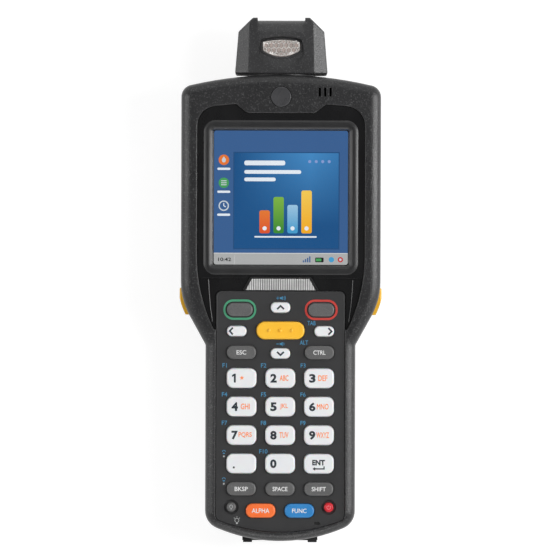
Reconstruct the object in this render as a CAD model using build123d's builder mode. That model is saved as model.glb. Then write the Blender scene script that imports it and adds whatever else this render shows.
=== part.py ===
"""Portable barcode data terminal: two moulded shells, a keypad, a touch display, a turning scan head,
two side triggers and a hinged battery door.

Frame: X across the keypad, Y along the body towards the scan head, Z out of the display. The terminal
lies on its back, so Z = 0 is the face that it rests on. Millimetres.
"""

from math import atan, cos, degrees, radians, sin, sqrt, tan
import os

from build123d import *

os.makedirs("parts", exist_ok=True)

# ---------------------------------------------------------------- lengths along the body
tab_drop = 0.8  # dock tabs, below the body's lowest point
body_length = 186.8  # crown of the bottom arc to crown of the top arc
head_gap = 0.3  # air under the scan head, so that it turns
head_height = 22.7  # scan head, base plane to ear tips

overall_length = tab_drop + body_length + head_gap + head_height
body_bottom = tab_drop - overall_length / 2
body_top = body_bottom + body_length
head_base_y = body_top + head_gap

# ---------------------------------------------------------------- outline of the body, seen from the front
head_width = 80.0  # across the display end
grip_width = 60.0  # across the keypad end
grip_length = 78.6  # bottom crown to the corner under the shoulder
shoulder_angle = 29.0  # slope of the shoulder from the long axis, degrees
shoulder_radius = 29.0  # where the side turns into the shoulder
waist_radius = 2.0  # where the shoulder meets the grip
top_arc_radius = 160.0
top_corner_radius = 4.8
bottom_arc_radius = 64.4
bottom_corner_radius = 7.5

shoulder_foot_y = body_bottom + grip_length
shoulder_top_y = shoulder_foot_y + (head_width - grip_width) / 2 / tan(radians(shoulder_angle))

# ---------------------------------------------------------------- shells
body_depth = 38.0  # rest face to front frame
split_z = 20.0  # parting plane of the shells, and height of the scan head's axis
front_edge_radius = 4.2
back_edge_radius = 4.2
wall = 2.4
fit_gap = 0.2  # between mouldings that sit in each other
gasket_width = 1.0
gasket_depth = 0.8
seam_depth = 0.35  # groove that shows where the shells meet
seam_height = 0.5
flute_depth = 0.6  # long flutes in the sides of the rear shell
flute_height = 1.3
flute_low = 8.0  # lowest flute, above the rest face
flute_pitch = 3.2
flute_count = 3
flute_margin_head = 10.0  # lower end of the upper flutes, above the corner of side and shoulder
flute_margin_top = 16.0
flute_margin_waist = 5.0  # upper end of the grip's flutes, below the shoulder foot
flute_margin_foot = 20.0
boss_radius = 2.8
screw_radius = 1.0
screw_clearance = 0.1
screw_head_radius = 2.1
screw_head_height = 1.3
screw_head_depth = 2.0  # seat of the screw head, above the rest face
screw_reach = 7.0  # screw past the parting plane
screw_socket_radius = 1.0
screw_socket_depth = 0.8
screw_head_edge = 0.3
boss_inset_head = 9.5  # side of the body to the upper and middle screws
boss_inset_grip = 11.0
boss_high_drop = 13.6  # top of the body to the upper screws
boss_low_rise = 6.0  # middle screws, above the corner of side and shoulder
boss_grip_rise = 7.3  # lower screws, above the bottom of the body

# ---------------------------------------------------------------- display end
face_drop = 0.8  # surround and keypad plate, below the front frame
surround_thickness = 3.2
ledge_thickness = 2.0
surround_inset = 6.4  # side of the body to the surround
surround_crest = 11.8  # top of the body to the surround's crest beside the notch
surround_shoulder = 1.4  # crest to the surround's outer corners
surround_corner_radius = 8.0
notch_half_width = 18.0
notch_floor_half_width = 13.6
notch_depth = 3.6
wing_start = 36.4  # where the surround's sides start to lean in, above the shoulder foot
wing_tip = 6.1  # lower tip of each wing, above the shoulder foot
wing_bulge = 1.9  # how far the wing's outer edge bows
wing_end = 0.8  # blunt end of each wing
crest_radius = 0.8
notch_radius = 3.0
screen_inset = 12.9  # side of the body to the visible screen
screen_drop = 22.1  # top of the body to the visible screen
screen_sill = 5.3  # light bar to the visible screen
slope_width = 3.8  # bevel round the screen
slope_lip = 0.4
slope_corner = 4.6
pocket_chamfer = 0.35  # front frame, round the surround and the keypad plate
chamfer_angle = 45
glass_margin = 2.8  # touch glass hidden under the surround
glass_thickness = 1.2
glass_corner = 1.0
panel_margin = 1.8
panel_thickness = 3.2
tray_wall = 1.0
tray_floor = 1.2
tray_bar = 9.6  # metal left round and between the windows in the tray's floor
tray_window_corner = 2.0
bar_height = 4.8  # indicator light bar, along the body
bar_half_top = 11.6
bar_half_bottom = 14.2
bar_gap = 0.15
bar_frame_side = 1.2  # sunk frame round the light bar, which runs out over the wings
bar_frame_top = 2.0
bar_frame_foot = 0.5
bar_frame_depth = 0.6
bar_groove = 0.35
bar_groove_pitch = 0.9
bar_groove_count = 25
emblem_radius = 4.0
emblem_drop = 8.9  # top of the body to the middle of the emblem
emblem_seat = 1.0
emblem_crown = 0.25
emblem_gap = 0.3
slot_width = 0.9
slot_length = 3.7
slot_pitch = 2.15
slot_x = 17.6
slot_drop = 7.0

face_z = body_depth - face_drop
ledge_z = face_z - surround_thickness
roof_z = ledge_z - ledge_thickness
surround_top_y = body_top - surround_crest
surround_half = head_width / 2 - surround_inset
emblem_y = body_top - emblem_drop

# ---------------------------------------------------------------- keypad
plate_inset = 4.1  # side of the grip to the plate
plate_length = 96.6  # crown of its bottom arc to its top edge
plate_rim = 3.6  # body left below the plate
plate_arc_radius = 68.0
plate_thickness = 1.6
plate_corner_radius = 2.2
plate_ledge = 1.2
post_radius = 1.3  # plate's posts, which stand on the board
key_gap = 0.2
key_flange = 0.8  # flange outside the key's outline
key_flange_thickness = 1.0
key_rise = 1.2  # keys, proud of the plate
key_edge_radius = 0.7
dome_height = 1.4
dome_radius = 1.6
dome_lean = 20
mat_thickness = 1.0
mat_rim = 1.0
board_thickness = 1.6

plate_width = grip_width - 2 * plate_inset
plate_bottom_y = body_bottom + plate_rim
plate_top_y = plate_bottom_y + plate_length
screen_low_y = plate_top_y + fit_gap + bar_height + screen_sill
screen_high_y = body_top - screen_drop
screen_height = screen_high_y - screen_low_y
screen_width = head_width - 2 * screen_inset
screen_y = (screen_high_y + screen_low_y) / 2
plate_under_z = face_z - plate_thickness
flange_under_z = plate_under_z - key_flange_thickness
mat_top_z = flange_under_z - dome_height
mat_under_z = mat_top_z - mat_thickness
key_board_under_z = mat_under_z - board_thickness

key_side_margin = 4.45  # edge of the plate to the outer digits
column_gap = 3.6  # between neighbours in a row of digits
row_gap = 3.6
first_row_drop = 34.9  # top of the plate to the middle of the first row of digits
word_row_rise = 17.4  # bottom of the plate to the middle of the last row of words
word_row_gap = 10.1  # middle of the last digits to the middle of those words
column_pitch = (plate_width + column_gap - 2 * key_side_margin) / 3
first_row_y = plate_top_y - first_row_drop
word_row_y = plate_bottom_y + word_row_rise
row_pitch = (first_row_y - word_row_y - word_row_gap) / 3

# ---------------------------------------------------------------- side triggers
trigger_length = 10.8
trigger_drop = 0.6  # middle of the trigger, below the corner of side and shoulder
trigger_foot = 2.6  # bottom of the trigger, above the parting plane
trigger_crest = 0.6  # top of the trigger, below the display's ledge
trigger_depth = 6.5  # how deep the window is cut from the side
trigger_proud = 1.3
trigger_reach = 0.5  # trigger past the body's widest point
trigger_gap = 0.2
trigger_flange = 1.2
trigger_flange_thickness = 1.2
trigger_travel = 1.0
trigger_edge_radius = 0.6

trigger_y = shoulder_top_y - trigger_drop
trigger_low_z = split_z + trigger_foot
trigger_high_z = roof_z - trigger_crest
trigger_height = trigger_high_z - trigger_low_z
switch_width = 3.2
switch_length = 5.0
switch_height = 5.8
switch_gap = 0.15  # pressed trigger to the switch's face
plunger_length = 0.6
plunger_radius = 1.0
plunger_drop = 1.6  # middle of the plunger, below the switch's top

# ---------------------------------------------------------------- battery bay, door and hinge
bay_inset = 6.3  # side of the grip to the bay
bay_wall = 1.8
bay_floor = 1.6
bay_rise = 10.9  # bay's top end, above the shoulder foot
bay_foot = 17.0  # bay's bottom end, above the bottom of the body
door_side = 1.4  # door plate past the bay, at each side
door_overlap = 1.4  # door plate past the bay, at its top end
door_thickness = 2.0
hinge_z = 3.2
hinge_radius = 3.0
hinge_back = 2.7  # hinge axis below the bay's bottom wall
hinge_room = 0.3  # air round the door's barrel
hinge_wall = 1.6
hinge_pin_radius = 0.75
hinge_running_gap = 0.05
knuckle_gap = 0.2
knuckle_inset = 11.4  # side of the door to the middle of each knuckle
knuckle_length = 5.5
door_rib = 1.4
door_rib_width = 2.0
door_rib_inset = 5.9  # side of the pack to the middle of each rail
pack_side_gap = 0.8
pack_roof_gap = 0.4
pack_edge_radius = 1.0
pack_end_gap = 2.2  # room for the pack's top edge as the door swings
pack_foot_gap = 0.8
pack_corner_radius = 2.5
contact_width = 16.0
contact_length = 4.0
contact_drop = 1.2
contact_room = 0.6
contact_set_back = 6.0  # contacts, from the pack's top end
contact_pitch = 3.6
contact_count = 4
contact_slot = 1.6
groove_set_back = 12.0  # middle of the door's finger grooves, from its top edge
groove_pitch = 2.6
groove_count = 4
groove_length = 22.0
groove_width = 1.2
groove_depth = 0.6
lock_width = 13.0
lock_length = 6.4
lock_travel = 3.0
lock_track_depth = 1.4
lock_gap = 0.15
lock_stem_width = 4.0
lock_stem_length = 2.0
lock_flange = 1.2
lock_ridge_pitch = 1.4
lock_ridge_count = 4
lock_ridge_depth = 0.4
lock_ridge_margin = 1.0  # end of the ridges, from the side of the lock
tongue_thickness = 0.8
tongue_width = 8.0
tongue_reach = 0.3  # open tongue, short of the door
lip_depth = 1.0  # step down to the strip at the door's top edge, under the locked tongue
lip_length = 3.4

bay_width = grip_width - 2 * bay_inset
door_width = bay_width + 2 * door_side
pack_width = bay_width - 2 * pack_side_gap
knuckle_x = door_width / 2 - knuckle_inset
door_rib_x = pack_width / 2 - door_rib_inset
bay_top_y = shoulder_foot_y + bay_rise
bay_bottom_y = body_bottom + bay_foot
bay_length = bay_top_y - bay_bottom_y
bay_y = (bay_top_y + bay_bottom_y) / 2
bay_ceiling_z = split_z - bay_floor
hinge_y = bay_bottom_y - hinge_back
door_top_y = bay_top_y + door_overlap
pack_under_z = door_thickness + door_rib
pack_thickness = bay_ceiling_z - pack_under_z - pack_roof_gap
lock_low_y = door_top_y + tongue_reach + lock_travel
lock_y = lock_low_y + lock_length / 2
lock_track_length = lock_y + lock_length / 2 + lock_gap - door_top_y
lock_track_y = door_top_y + lock_track_length / 2

# ---------------------------------------------------------------- inside the shells
rib_height = 1.0  # ribs on the bay, which carry the main board
rib_inset = 4.7  # side of the bay to the middle of each rib
main_board_thickness = 1.2
main_board_top = 8.2  # top of the body to the board's top edge
board_inset_head = 7.6  # side of the body to the board
board_inset_grip = 9.0
board_tail_half = 12.0
board_shoulder_rise = 12.0  # where the board narrows, above the shoulder foot
board_foot = 12.0  # board's main edge, above the bottom of the body
can_height = 2.6
can_corner = 1.0
can_edge_radius = 0.4
speaker_radius = 9.0
speaker_depth = 4.0
speaker_magnet_radius = 5.0
speaker_magnet_depth = 2.0
speaker_edge_radius = 0.8
speaker_y = 42.0
grille_slot = 1.3
grille_length = 13.0
grille_pitch = 2.7
grille_count = 5
board_post_radius = 2.0
board_post_x = 22.0
board_post_rise = 34.0  # lower posts, above the shoulder foot
board_post_drop = 24.0  # upper post, below the top of the body
dock_width = 30.2
dock_height = 10.0
dock_length = 8.1
dock_tab_width = 3.6
dock_tab_x = 13.0
dock_pocket_width = 23.0
dock_pocket_height = 5.0
dock_pocket_depth = 5.5
dock_pin_pitch = 2.0
dock_pin_count = 10
dock_pin_width = 0.9
dock_pin_height = 1.6
dock_pin_length = 4.0

rib_x = bay_width / 2 - rib_inset
board_half_head = head_width / 2 - board_inset_head
board_half_grip = grip_width / 2 - board_inset_grip
board_shoulder_y = shoulder_foot_y + board_shoulder_rise
board_low_y = body_bottom + board_foot
can_places = (
    (-12.0, screen_y + 14.0, 26.0, 20.0),
    (15.0, screen_y + 12.0, 16.0, 24.0),
    (0.0, shoulder_foot_y - 20.0, 28.0, 22.0),
)
board_post_low_y = shoulder_foot_y + board_post_rise
board_post_high_y = body_top - board_post_drop
main_board_z = split_z + rib_height
main_board_top_z = main_board_z + main_board_thickness

# ---------------------------------------------------------------- scan head
head_base_width = 37.2
head_front_flat = 26.6  # width of the front face at the base
head_facet_depth = 3.4  # how far the side facets run back
head_depth = 29.0
head_taper = 4.6  # lean of every side, degrees
head_wall = 1.8
head_front_wall = 4.6
head_split = 5.0  # parting plane of the head's shells, in front of its axis
head_edge_radius = 0.9
ear_cut = 5.6  # corner taken off each side of the top, along the head
ear_cut_width = 5.8
channel_width = 19.0  # hood between the ears
channel_depth = 1.0
hood_radius = 6.0  # front of the channel, rolled back
window_tilt = 40.0  # scan window's normal, from the long axis towards the back
window_top = 4.0  # upper edge of the window's slope, in front of the axis
window_width = 17.4
window_length = 15.0
window_set_back = 12.6  # middle of the window, down the slope
window_seat = 1.1
window_ledge = 1.2
window_thickness = 0.9
window_gap = 0.1
window_corner = 1.0
scoop_low = 2.8  # lower lip of the scoop, above the head's base
scoop_high = 4.4  # top of the scoop, above the middle of the lens
scoop_brow = 3.2  # upper corners of the scoop, above the middle of the lens
scoop_cheek = 2.9  # widest points of the scoop, below the middle of the lens
scoop_half_width = 9.3
scoop_top_half_width = 8.3
scoop_corner = 1.0
scoop_sill = 0.4  # depth of the scoop at its lower lip
scoop_tilt = 9.0  # scoop's floor against the front face, degrees
lens_half_width = 7.5
lens_height = 7.0
lens_rim = 0.8  # raised rim round the lens
lens_rim_height = 0.4
lens_rise = 10.4  # middle of the lens, above the head's base
lens_seat = 1.0
lens_proud = 0.5
lens_gap = 0.1
lens_shoulder = 2.5
lens_chin = 0.9
lens_corner = 0.8
lens_edge_radius = 0.35
lamp_radius = 1.5
engine_width = 17.0
engine_depth = 16.0
engine_height = 14.0
engine_set_back = 4.0  # engine's face, under the window
engine_aperture = 8.0
engine_aperture_depth = 2.0
engine_aperture_margin = 2.0
engine_edge_radius = 1.0
skirt_radius = 13.0
skirt_depth = 1.0
skirt_room = 0.3
neck_radius = 9.0
neck_running_gap = 0.06
neck_bore = 6.0
neck_flange = 1.4
neck_flange_thickness = 1.5
neck_axial_gap = 0.1
collar_wall = 2.3
collar_depth = 2.4  # extra wall behind the top face, which carries the neck
seal_width = 1.2
seal_depth = 0.8
spigot_radius = 8.0  # spindle inside the head's base

boss_x_head = head_width / 2 - boss_inset_head
boss_x_grip = grip_width / 2 - boss_inset_grip
boss_high_y = body_top - boss_high_drop
boss_low_y = shoulder_top_y + boss_low_rise
boss_grip_y = body_bottom + boss_grip_rise
recess_y = head_base_y - skirt_depth - skirt_room
collar_y = body_top - wall - collar_depth


# ================================================================ outlines and helpers


def save(piece, label):
    """Names a finished sub-part and writes it."""
    piece.label = label
    export_step(piece, f"parts/{label}.step")


def arc_drop(radius, half_width):
    """How far an arc falls from its crown at a distance from the middle."""
    return radius - sqrt(radius**2 - half_width**2)


def along_y(y):
    """Plane across the body at y, centred on the scan head's axis and facing the head."""
    return Plane(origin=(0, y, split_z), x_dir=(-1, 0, 0), z_dir=(0, 1, 0))


def along_x(x):
    """Plane across the hinge at x, centred on the hinge axis."""
    return Plane(origin=(x, hinge_y, hinge_z), x_dir=(0, 1, 0), z_dir=(1, 0, 0))


def round_pair(outline, x, y, radius):
    """Rounds the outline's two corners at this height, x from the middle."""
    corners = outline.vertices().sort_by(lambda corner: abs(abs(corner.X) - x) + abs(corner.Y - y))
    fillet(corners[:2], radius)


def body_outline(inset=0.0):
    """The body seen from the front, set in from the edge by inset."""
    head_half = head_width / 2
    grip_half = grip_width / 2
    side_top_y = body_top - arc_drop(top_arc_radius, head_half)
    corner_y = body_bottom + arc_drop(bottom_arc_radius, grip_half)
    with BuildSketch(mode=Mode.PRIVATE) as outline:
        with BuildLine():
            ThreePointArc((-head_half, side_top_y), (0, body_top), (head_half, side_top_y))
            Polyline(
                (head_half, side_top_y),
                (head_half, shoulder_top_y),
                (grip_half, shoulder_foot_y),
                (grip_half, corner_y),
            )
            ThreePointArc((grip_half, corner_y), (0, body_bottom), (-grip_half, corner_y))
            Polyline(
                (-grip_half, corner_y),
                (-grip_half, shoulder_foot_y),
                (-head_half, shoulder_top_y),
                (-head_half, side_top_y),
            )
        make_face()
        round_pair(outline, head_half, side_top_y, top_corner_radius)
        round_pair(outline, head_half, shoulder_top_y, shoulder_radius)
        round_pair(outline, grip_half, shoulder_foot_y, waist_radius)
        round_pair(outline, grip_half, corner_y, bottom_corner_radius)
        if inset:
            offset(amount=-inset, kind=Kind.INTERSECTION)
    return outline.sketch


def surround_outline(inset=0.0):
    """The recess round the screen, with its notch at the top and a wing beside each rail."""
    half = surround_half - inset
    crest_y = surround_top_y - inset
    notch_y = crest_y - notch_depth
    shoulder_y = crest_y - surround_shoulder
    wing_top_y = shoulder_foot_y + wing_start
    tip_y = shoulder_foot_y + wing_tip + inset
    inner_x = plate_width / 2 + inset
    tip_x = plate_width / 2 + wing_end - inset
    bow = ((half + tip_x) / 2 + wing_bulge, (wing_top_y + tip_y) / 2)
    low_y = plate_top_y + inset
    with BuildSketch(mode=Mode.PRIVATE) as outline:
        with BuildLine() as right:
            Polyline(
                (0, notch_y),
                (notch_floor_half_width, notch_y),
                (notch_half_width, crest_y),
                (half, shoulder_y),
                (half, wing_top_y),
            )
            ThreePointArc((half, wing_top_y), bow, (tip_x, tip_y))
            Polyline((tip_x, tip_y), (inner_x, tip_y), (inner_x, low_y), (0, low_y))
            mirror(right.line, about=Plane.YZ)
        make_face()
        round_pair(outline, notch_half_width, crest_y, crest_radius)
        round_pair(outline, half, shoulder_y, surround_corner_radius)
        round_pair(outline, notch_floor_half_width, notch_y, notch_radius)
        round_pair(outline, inner_x, low_y, plate_corner_radius + inset)
    return outline.sketch


def plate_outline(inset=0.0):
    """The keypad plate, with its arched bottom edge."""
    half = plate_width / 2
    corner_y = plate_bottom_y + arc_drop(plate_arc_radius, half)
    with BuildSketch(mode=Mode.PRIVATE) as outline:
        with BuildLine():
            ThreePointArc((-half, corner_y), (0, plate_bottom_y), (half, corner_y))
            Polyline((half, corner_y), (half, plate_top_y), (-half, plate_top_y), (-half, corner_y))
        make_face()
        fillet(outline.vertices(), plate_corner_radius)
        if inset:
            offset(amount=-inset, kind=Kind.INTERSECTION)
    return outline.sketch


outer_outline = body_outline()
cavity_outline = body_outline(wall)
surround_pocket = surround_outline()
surround_edge = surround_outline(fit_gap)
plate_pocket = plate_outline()
plate_edge = plate_outline(fit_gap)
plate_opening = plate_outline(plate_ledge)
mat_edge = plate_outline(plate_ledge + fit_gap)

# ================================================================ the body before it is split

with BuildPart() as body_form:
    with BuildSketch():
        add(outer_outline)
    extrude(amount=body_depth)
    fillet(body_form.faces().sort_by(Axis.Z)[-1].edges(), front_edge_radius)
    fillet(body_form.faces().sort_by(Axis.Z)[0].edges(), back_edge_radius)

tray_margin = glass_margin + fit_gap + tray_wall
tray_width = screen_width + 2 * tray_margin
tray_height = screen_height + 2 * tray_margin
boss_places = (
    (boss_x_head, boss_high_y),
    (-boss_x_head, boss_high_y),
    (boss_x_head, boss_low_y),
    (-boss_x_head, boss_low_y),
    (boss_x_grip, boss_grip_y),
    (-boss_x_grip, boss_grip_y),
)


def trigger_strip(inner, outer, length):
    """A strip of the body's right side beside the trigger, between two insets of the outline."""
    with BuildSketch(mode=Mode.PRIVATE) as strip:
        add(body_outline(outer))
        add(body_outline(inner), mode=Mode.SUBTRACT)
        with Locations((head_width / 2 + trigger_reach, trigger_y)):
            Rectangle(head_width / 2, length, align=(Align.MAX, Align.CENTER), mode=Mode.INTERSECT)
    return strip.sketch


flute_gaps = (
    (body_bottom, body_bottom + flute_margin_foot),
    (shoulder_foot_y - flute_margin_waist, shoulder_top_y + flute_margin_head),
    (body_top - flute_margin_top, body_top),
)

with BuildSketch() as flute_strips:
    add(outer_outline)
    add(body_outline(flute_depth), mode=Mode.SUBTRACT)
    for low_y, high_y in flute_gaps:
        with Locations((0, low_y)):
            Rectangle(2 * head_width, high_y - low_y, align=(Align.CENTER, Align.MIN), mode=Mode.SUBTRACT)

with BuildPart() as side_flutes:
    for step in range(flute_count):
        with BuildSketch(Plane.XY.offset(flute_low + step * flute_pitch)):
            add(flute_strips.sketch)
        extrude(amount=flute_height)

with BuildPart() as seam_groove:
    with BuildSketch(Plane.XY.offset(split_z - seam_height / 2)):
        add(body_outline(-seam_depth))
        add(body_outline(seam_depth), mode=Mode.SUBTRACT)
    extrude(amount=seam_height)


# ================================================================ front housing

with BuildPart() as front_cavity:
    with BuildSketch(Plane.XY.offset(split_z)):
        add(cavity_outline)
        with Locations(*boss_places):
            Circle(boss_radius, mode=Mode.SUBTRACT)
    extrude(amount=roof_z - split_z)
    with BuildSketch(along_y(collar_y)):
        Circle(neck_radius + collar_wall)
    extrude(amount=collar_depth + 2 * wall, mode=Mode.SUBTRACT)

with BuildPart() as front_housing:
    add(body_form.part)
    split(bisect_by=Plane.XY.offset(split_z), keep=Keep.TOP)
    add(front_cavity.part, mode=Mode.SUBTRACT)
    with BuildSketch(Plane.XY.offset(ledge_z)):  # seat of the surround
        add(surround_pocket)
    extrude(amount=body_depth - ledge_z, mode=Mode.SUBTRACT)
    with BuildSketch(Plane.XY.offset(roof_z)):  # the display's tray passes here
        with Locations((0, screen_y)):
            Rectangle(tray_width + 2 * fit_gap, tray_height + 2 * fit_gap)
    extrude(amount=ledge_thickness, mode=Mode.SUBTRACT)
    with BuildSketch(Plane.XY.offset(key_board_under_z - fit_gap)):  # the keypad's mat and board
        add(plate_opening)
    extrude(amount=plate_thickness + body_depth - key_board_under_z, mode=Mode.SUBTRACT)
    with BuildSketch(Plane.XY.offset(plate_under_z)):  # seat of the keypad plate
        add(plate_pocket)
    extrude(amount=body_depth - plate_under_z, mode=Mode.SUBTRACT)
    with BuildSketch(Plane.XY.offset(body_depth - pocket_chamfer)):
        add(surround_pocket)
        add(plate_pocket)
    extrude(amount=pocket_chamfer, taper=-chamfer_angle, mode=Mode.SUBTRACT)
    with BuildSketch(Plane.XY.offset(body_depth - emblem_seat)):
        with Locations((0, emblem_y)):
            Circle(emblem_radius + emblem_gap)
    extrude(amount=emblem_seat, mode=Mode.SUBTRACT)
    with BuildSketch(Plane.XY.offset(roof_z)):  # sound slots
        with Locations((slot_x, body_top - slot_drop)):
            with GridLocations(slot_pitch, slot_pitch, 3, 1):
                SlotOverall(slot_length, slot_width, rotation=90)
    extrude(amount=body_depth - roof_z, mode=Mode.SUBTRACT)
    with BuildSketch(Plane.XY.offset(trigger_low_z - trigger_gap)):  # windows of the side triggers
        add(trigger_strip(trigger_depth, -trigger_proud, trigger_length + 2 * trigger_gap))
        mirror(about=Plane.YZ)
    extrude(amount=trigger_height + 2 * trigger_gap, mode=Mode.SUBTRACT)
    with BuildSketch(along_y(collar_y)):  # bearing of the scan head's neck
        Circle(neck_radius + neck_running_gap)
    extrude(amount=head_base_y - collar_y, mode=Mode.SUBTRACT)
    with BuildSketch(along_y(recess_y)):
        Circle(skirt_radius + skirt_room)
    extrude(amount=head_base_y - recess_y, mode=Mode.SUBTRACT)
    with Locations((0, body_bottom, split_z)):
        Box(dock_width, 2 * dock_length, dock_height, mode=Mode.SUBTRACT)
    with BuildSketch(Plane.XY.offset(split_z)):
        with Locations(*boss_places):
            Circle(screw_radius)
    extrude(amount=screw_reach, mode=Mode.SUBTRACT)
    add(seam_groove.part, mode=Mode.SUBTRACT)
save(front_housing.part, "front_housing")


# ================================================================ rear housing


def barrel(x, length, radius):
    """A cylinder on the hinge axis, centred on x."""
    with BuildPart(mode=Mode.PRIVATE) as cylinder:
        with BuildSketch(along_x(x - length / 2)):
            Circle(radius)
        extrude(amount=length)
    return cylinder.part


knuckle_places = (knuckle_x, -knuckle_x)
hinge_pocket = barrel(0, door_width, hinge_radius + hinge_room)
case_knuckles = [barrel(x, knuckle_length, hinge_radius) for x in knuckle_places]
swing_room = hinge_z + hinge_room  # the open door's outer face passes at hinge_z from the axis
hinge_floor_y = hinge_y - swing_room - hinge_wall
post_places = (
    (board_post_x, board_post_low_y),
    (-board_post_x, board_post_low_y),
    (0, board_post_high_y),
)
pin_length = 2 * knuckle_x + knuckle_length
pin_bore = barrel(0, pin_length, hinge_pin_radius)
knuckle_web = hinge_radius + hinge_room + fit_gap

with BuildSketch() as gasket_track:
    add(body_outline((wall - gasket_width) / 2))
    add(body_outline((wall + gasket_width) / 2), mode=Mode.SUBTRACT)
    with Locations((0, body_top)):  # the scan head's neck and the dock break the track
        Rectangle(2 * (skirt_radius + skirt_room), 4 * wall, mode=Mode.SUBTRACT)
    with Locations((0, body_bottom)):
        Rectangle(dock_width, 4 * wall, mode=Mode.SUBTRACT)

with BuildPart() as rear_cavity:
    with BuildSketch(Plane.XY.offset(wall)):
        add(cavity_outline)
        with Locations(*boss_places):
            Circle(boss_radius, mode=Mode.SUBTRACT)
        with Locations(*post_places):
            Circle(board_post_radius, mode=Mode.SUBTRACT)
        with Locations((0, bay_y)):
            Rectangle(bay_width + 2 * bay_wall, bay_length + 2 * bay_wall, mode=Mode.SUBTRACT)
    extrude(amount=split_z - wall)
    with BuildSketch(Plane.XY.offset(wall)):
        with Locations((0, (hinge_floor_y + bay_bottom_y) / 2)):
            Rectangle(grip_width, bay_bottom_y - hinge_floor_y)
    extrude(amount=hinge_z + hinge_radius + hinge_wall, mode=Mode.SUBTRACT)
    with BuildSketch(along_y(collar_y)):
        Circle(neck_radius + collar_wall)
    extrude(amount=collar_depth + 2 * wall, mode=Mode.SUBTRACT)

with BuildPart() as rear_housing:
    add(body_form.part)
    split(bisect_by=Plane.XY.offset(split_z), keep=Keep.BOTTOM)
    add(rear_cavity.part, mode=Mode.SUBTRACT)
    with BuildSketch():  # battery bay
        with Locations((0, bay_y)):
            Rectangle(bay_width, bay_length)
    extrude(amount=bay_ceiling_z, mode=Mode.SUBTRACT)
    with BuildSketch():  # seat of the door
        with Locations((0, (hinge_y + door_top_y) / 2)):
            Rectangle(door_width, door_top_y - hinge_y)
    extrude(amount=door_thickness, mode=Mode.SUBTRACT)
    add(hinge_pocket, mode=Mode.SUBTRACT)
    with Locations((0, hinge_y - swing_room / 2, hinge_z / 2)):
        Box(door_width, swing_room, hinge_z, mode=Mode.SUBTRACT)
    for place, knuckle in zip(knuckle_places, case_knuckles):
        add(knuckle)
        with Locations((place, hinge_y - knuckle_web / 2, hinge_z + knuckle_web / 2)):
            Box(knuckle_length, knuckle_web, knuckle_web)
    add(pin_bore, mode=Mode.SUBTRACT)
    with BuildSketch(Plane.XY.offset(split_z)):  # ribs under the main board, and its posts
        with Locations((rib_x, bay_y), (-rib_x, bay_y)):
            Rectangle(bay_wall, bay_length - 2 * bay_wall)
        with Locations(*post_places):
            Circle(board_post_radius)
    extrude(amount=rib_height)
    with BuildSketch(along_y(collar_y)):  # bearing of the scan head's neck
        Circle(neck_radius + neck_running_gap)
    extrude(amount=head_base_y - collar_y, mode=Mode.SUBTRACT)
    with BuildSketch(along_y(recess_y)):
        Circle(skirt_radius + skirt_room)
    extrude(amount=head_base_y - recess_y, mode=Mode.SUBTRACT)
    with Locations((0, body_bottom, split_z)):
        Box(dock_width, 2 * dock_length, dock_height, mode=Mode.SUBTRACT)
    with BuildSketch(Plane.XY.offset(split_z - gasket_depth)):
        add(gasket_track.sketch)
    extrude(amount=gasket_depth, mode=Mode.SUBTRACT)
    with BuildSketch():  # screw holes
        with Locations(*boss_places):
            Circle(screw_radius + screw_clearance)
    extrude(amount=split_z, mode=Mode.SUBTRACT)
    with BuildSketch():
        with Locations(*boss_places):
            Circle(screw_head_radius + screw_clearance)
    extrude(amount=screw_head_depth, mode=Mode.SUBTRACT)
    with BuildSketch():  # loudspeaker grille
        with Locations((0, speaker_y)):
            with GridLocations(grille_pitch, grille_pitch, 1, grille_count):
                SlotOverall(grille_length, grille_slot)
    extrude(amount=wall, mode=Mode.SUBTRACT)
    with BuildSketch():  # track of the door lock
        with Locations((0, lock_track_y)):
            Rectangle(lock_width + 2 * lock_gap, lock_track_length)
    extrude(amount=lock_track_depth, mode=Mode.SUBTRACT)
    with BuildSketch():
        with Locations((0, lock_y - lock_travel / 2)):
            Rectangle(lock_stem_width + 2 * lock_gap, lock_stem_length + lock_travel + 2 * lock_gap)
    extrude(amount=wall, mode=Mode.SUBTRACT)
    add(seam_groove.part, mode=Mode.SUBTRACT)
    add(side_flutes.part, mode=Mode.SUBTRACT)
save(rear_housing.part, "rear_housing")

with BuildPart() as housing_gasket:
    with BuildSketch(Plane.XY.offset(split_z - gasket_depth)):
        add(gasket_track.sketch)
    extrude(amount=gasket_depth)
save(housing_gasket.part, "housing_gasket")

with BuildPart() as housing_screws:
    with BuildSketch(Plane.XY.offset(screw_head_depth)):
        with Locations(*boss_places):
            Circle(screw_head_radius)
    extrude(amount=-screw_head_height)
    fillet(housing_screws.faces().filter_by(Axis.Z).sort_by(Axis.Z)[0].edges(), screw_head_edge)
    with BuildSketch(Plane.XY.offset(screw_head_depth)):
        with Locations(*boss_places):
            Circle(screw_radius)
    extrude(amount=split_z + screw_reach - screw_head_depth)
    with BuildSketch(Plane.XY.offset(screw_head_depth - screw_head_height)):  # hexagon sockets
        with Locations(*boss_places):
            RegularPolygon(screw_socket_radius, 6)
    extrude(amount=screw_socket_depth, mode=Mode.SUBTRACT)
save(housing_screws.part, "housing_screws")


# ================================================================ display

bar_low_y = plate_top_y + fit_gap
bar_high_y = bar_low_y + bar_height
with BuildSketch() as bar_outline:
    with BuildLine():
        Polyline(
            (-bar_half_bottom, bar_low_y),
            (bar_half_bottom, bar_low_y),
            (bar_half_top, bar_high_y),
            (-bar_half_top, bar_high_y),
            close=True,
        )
    make_face()

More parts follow.
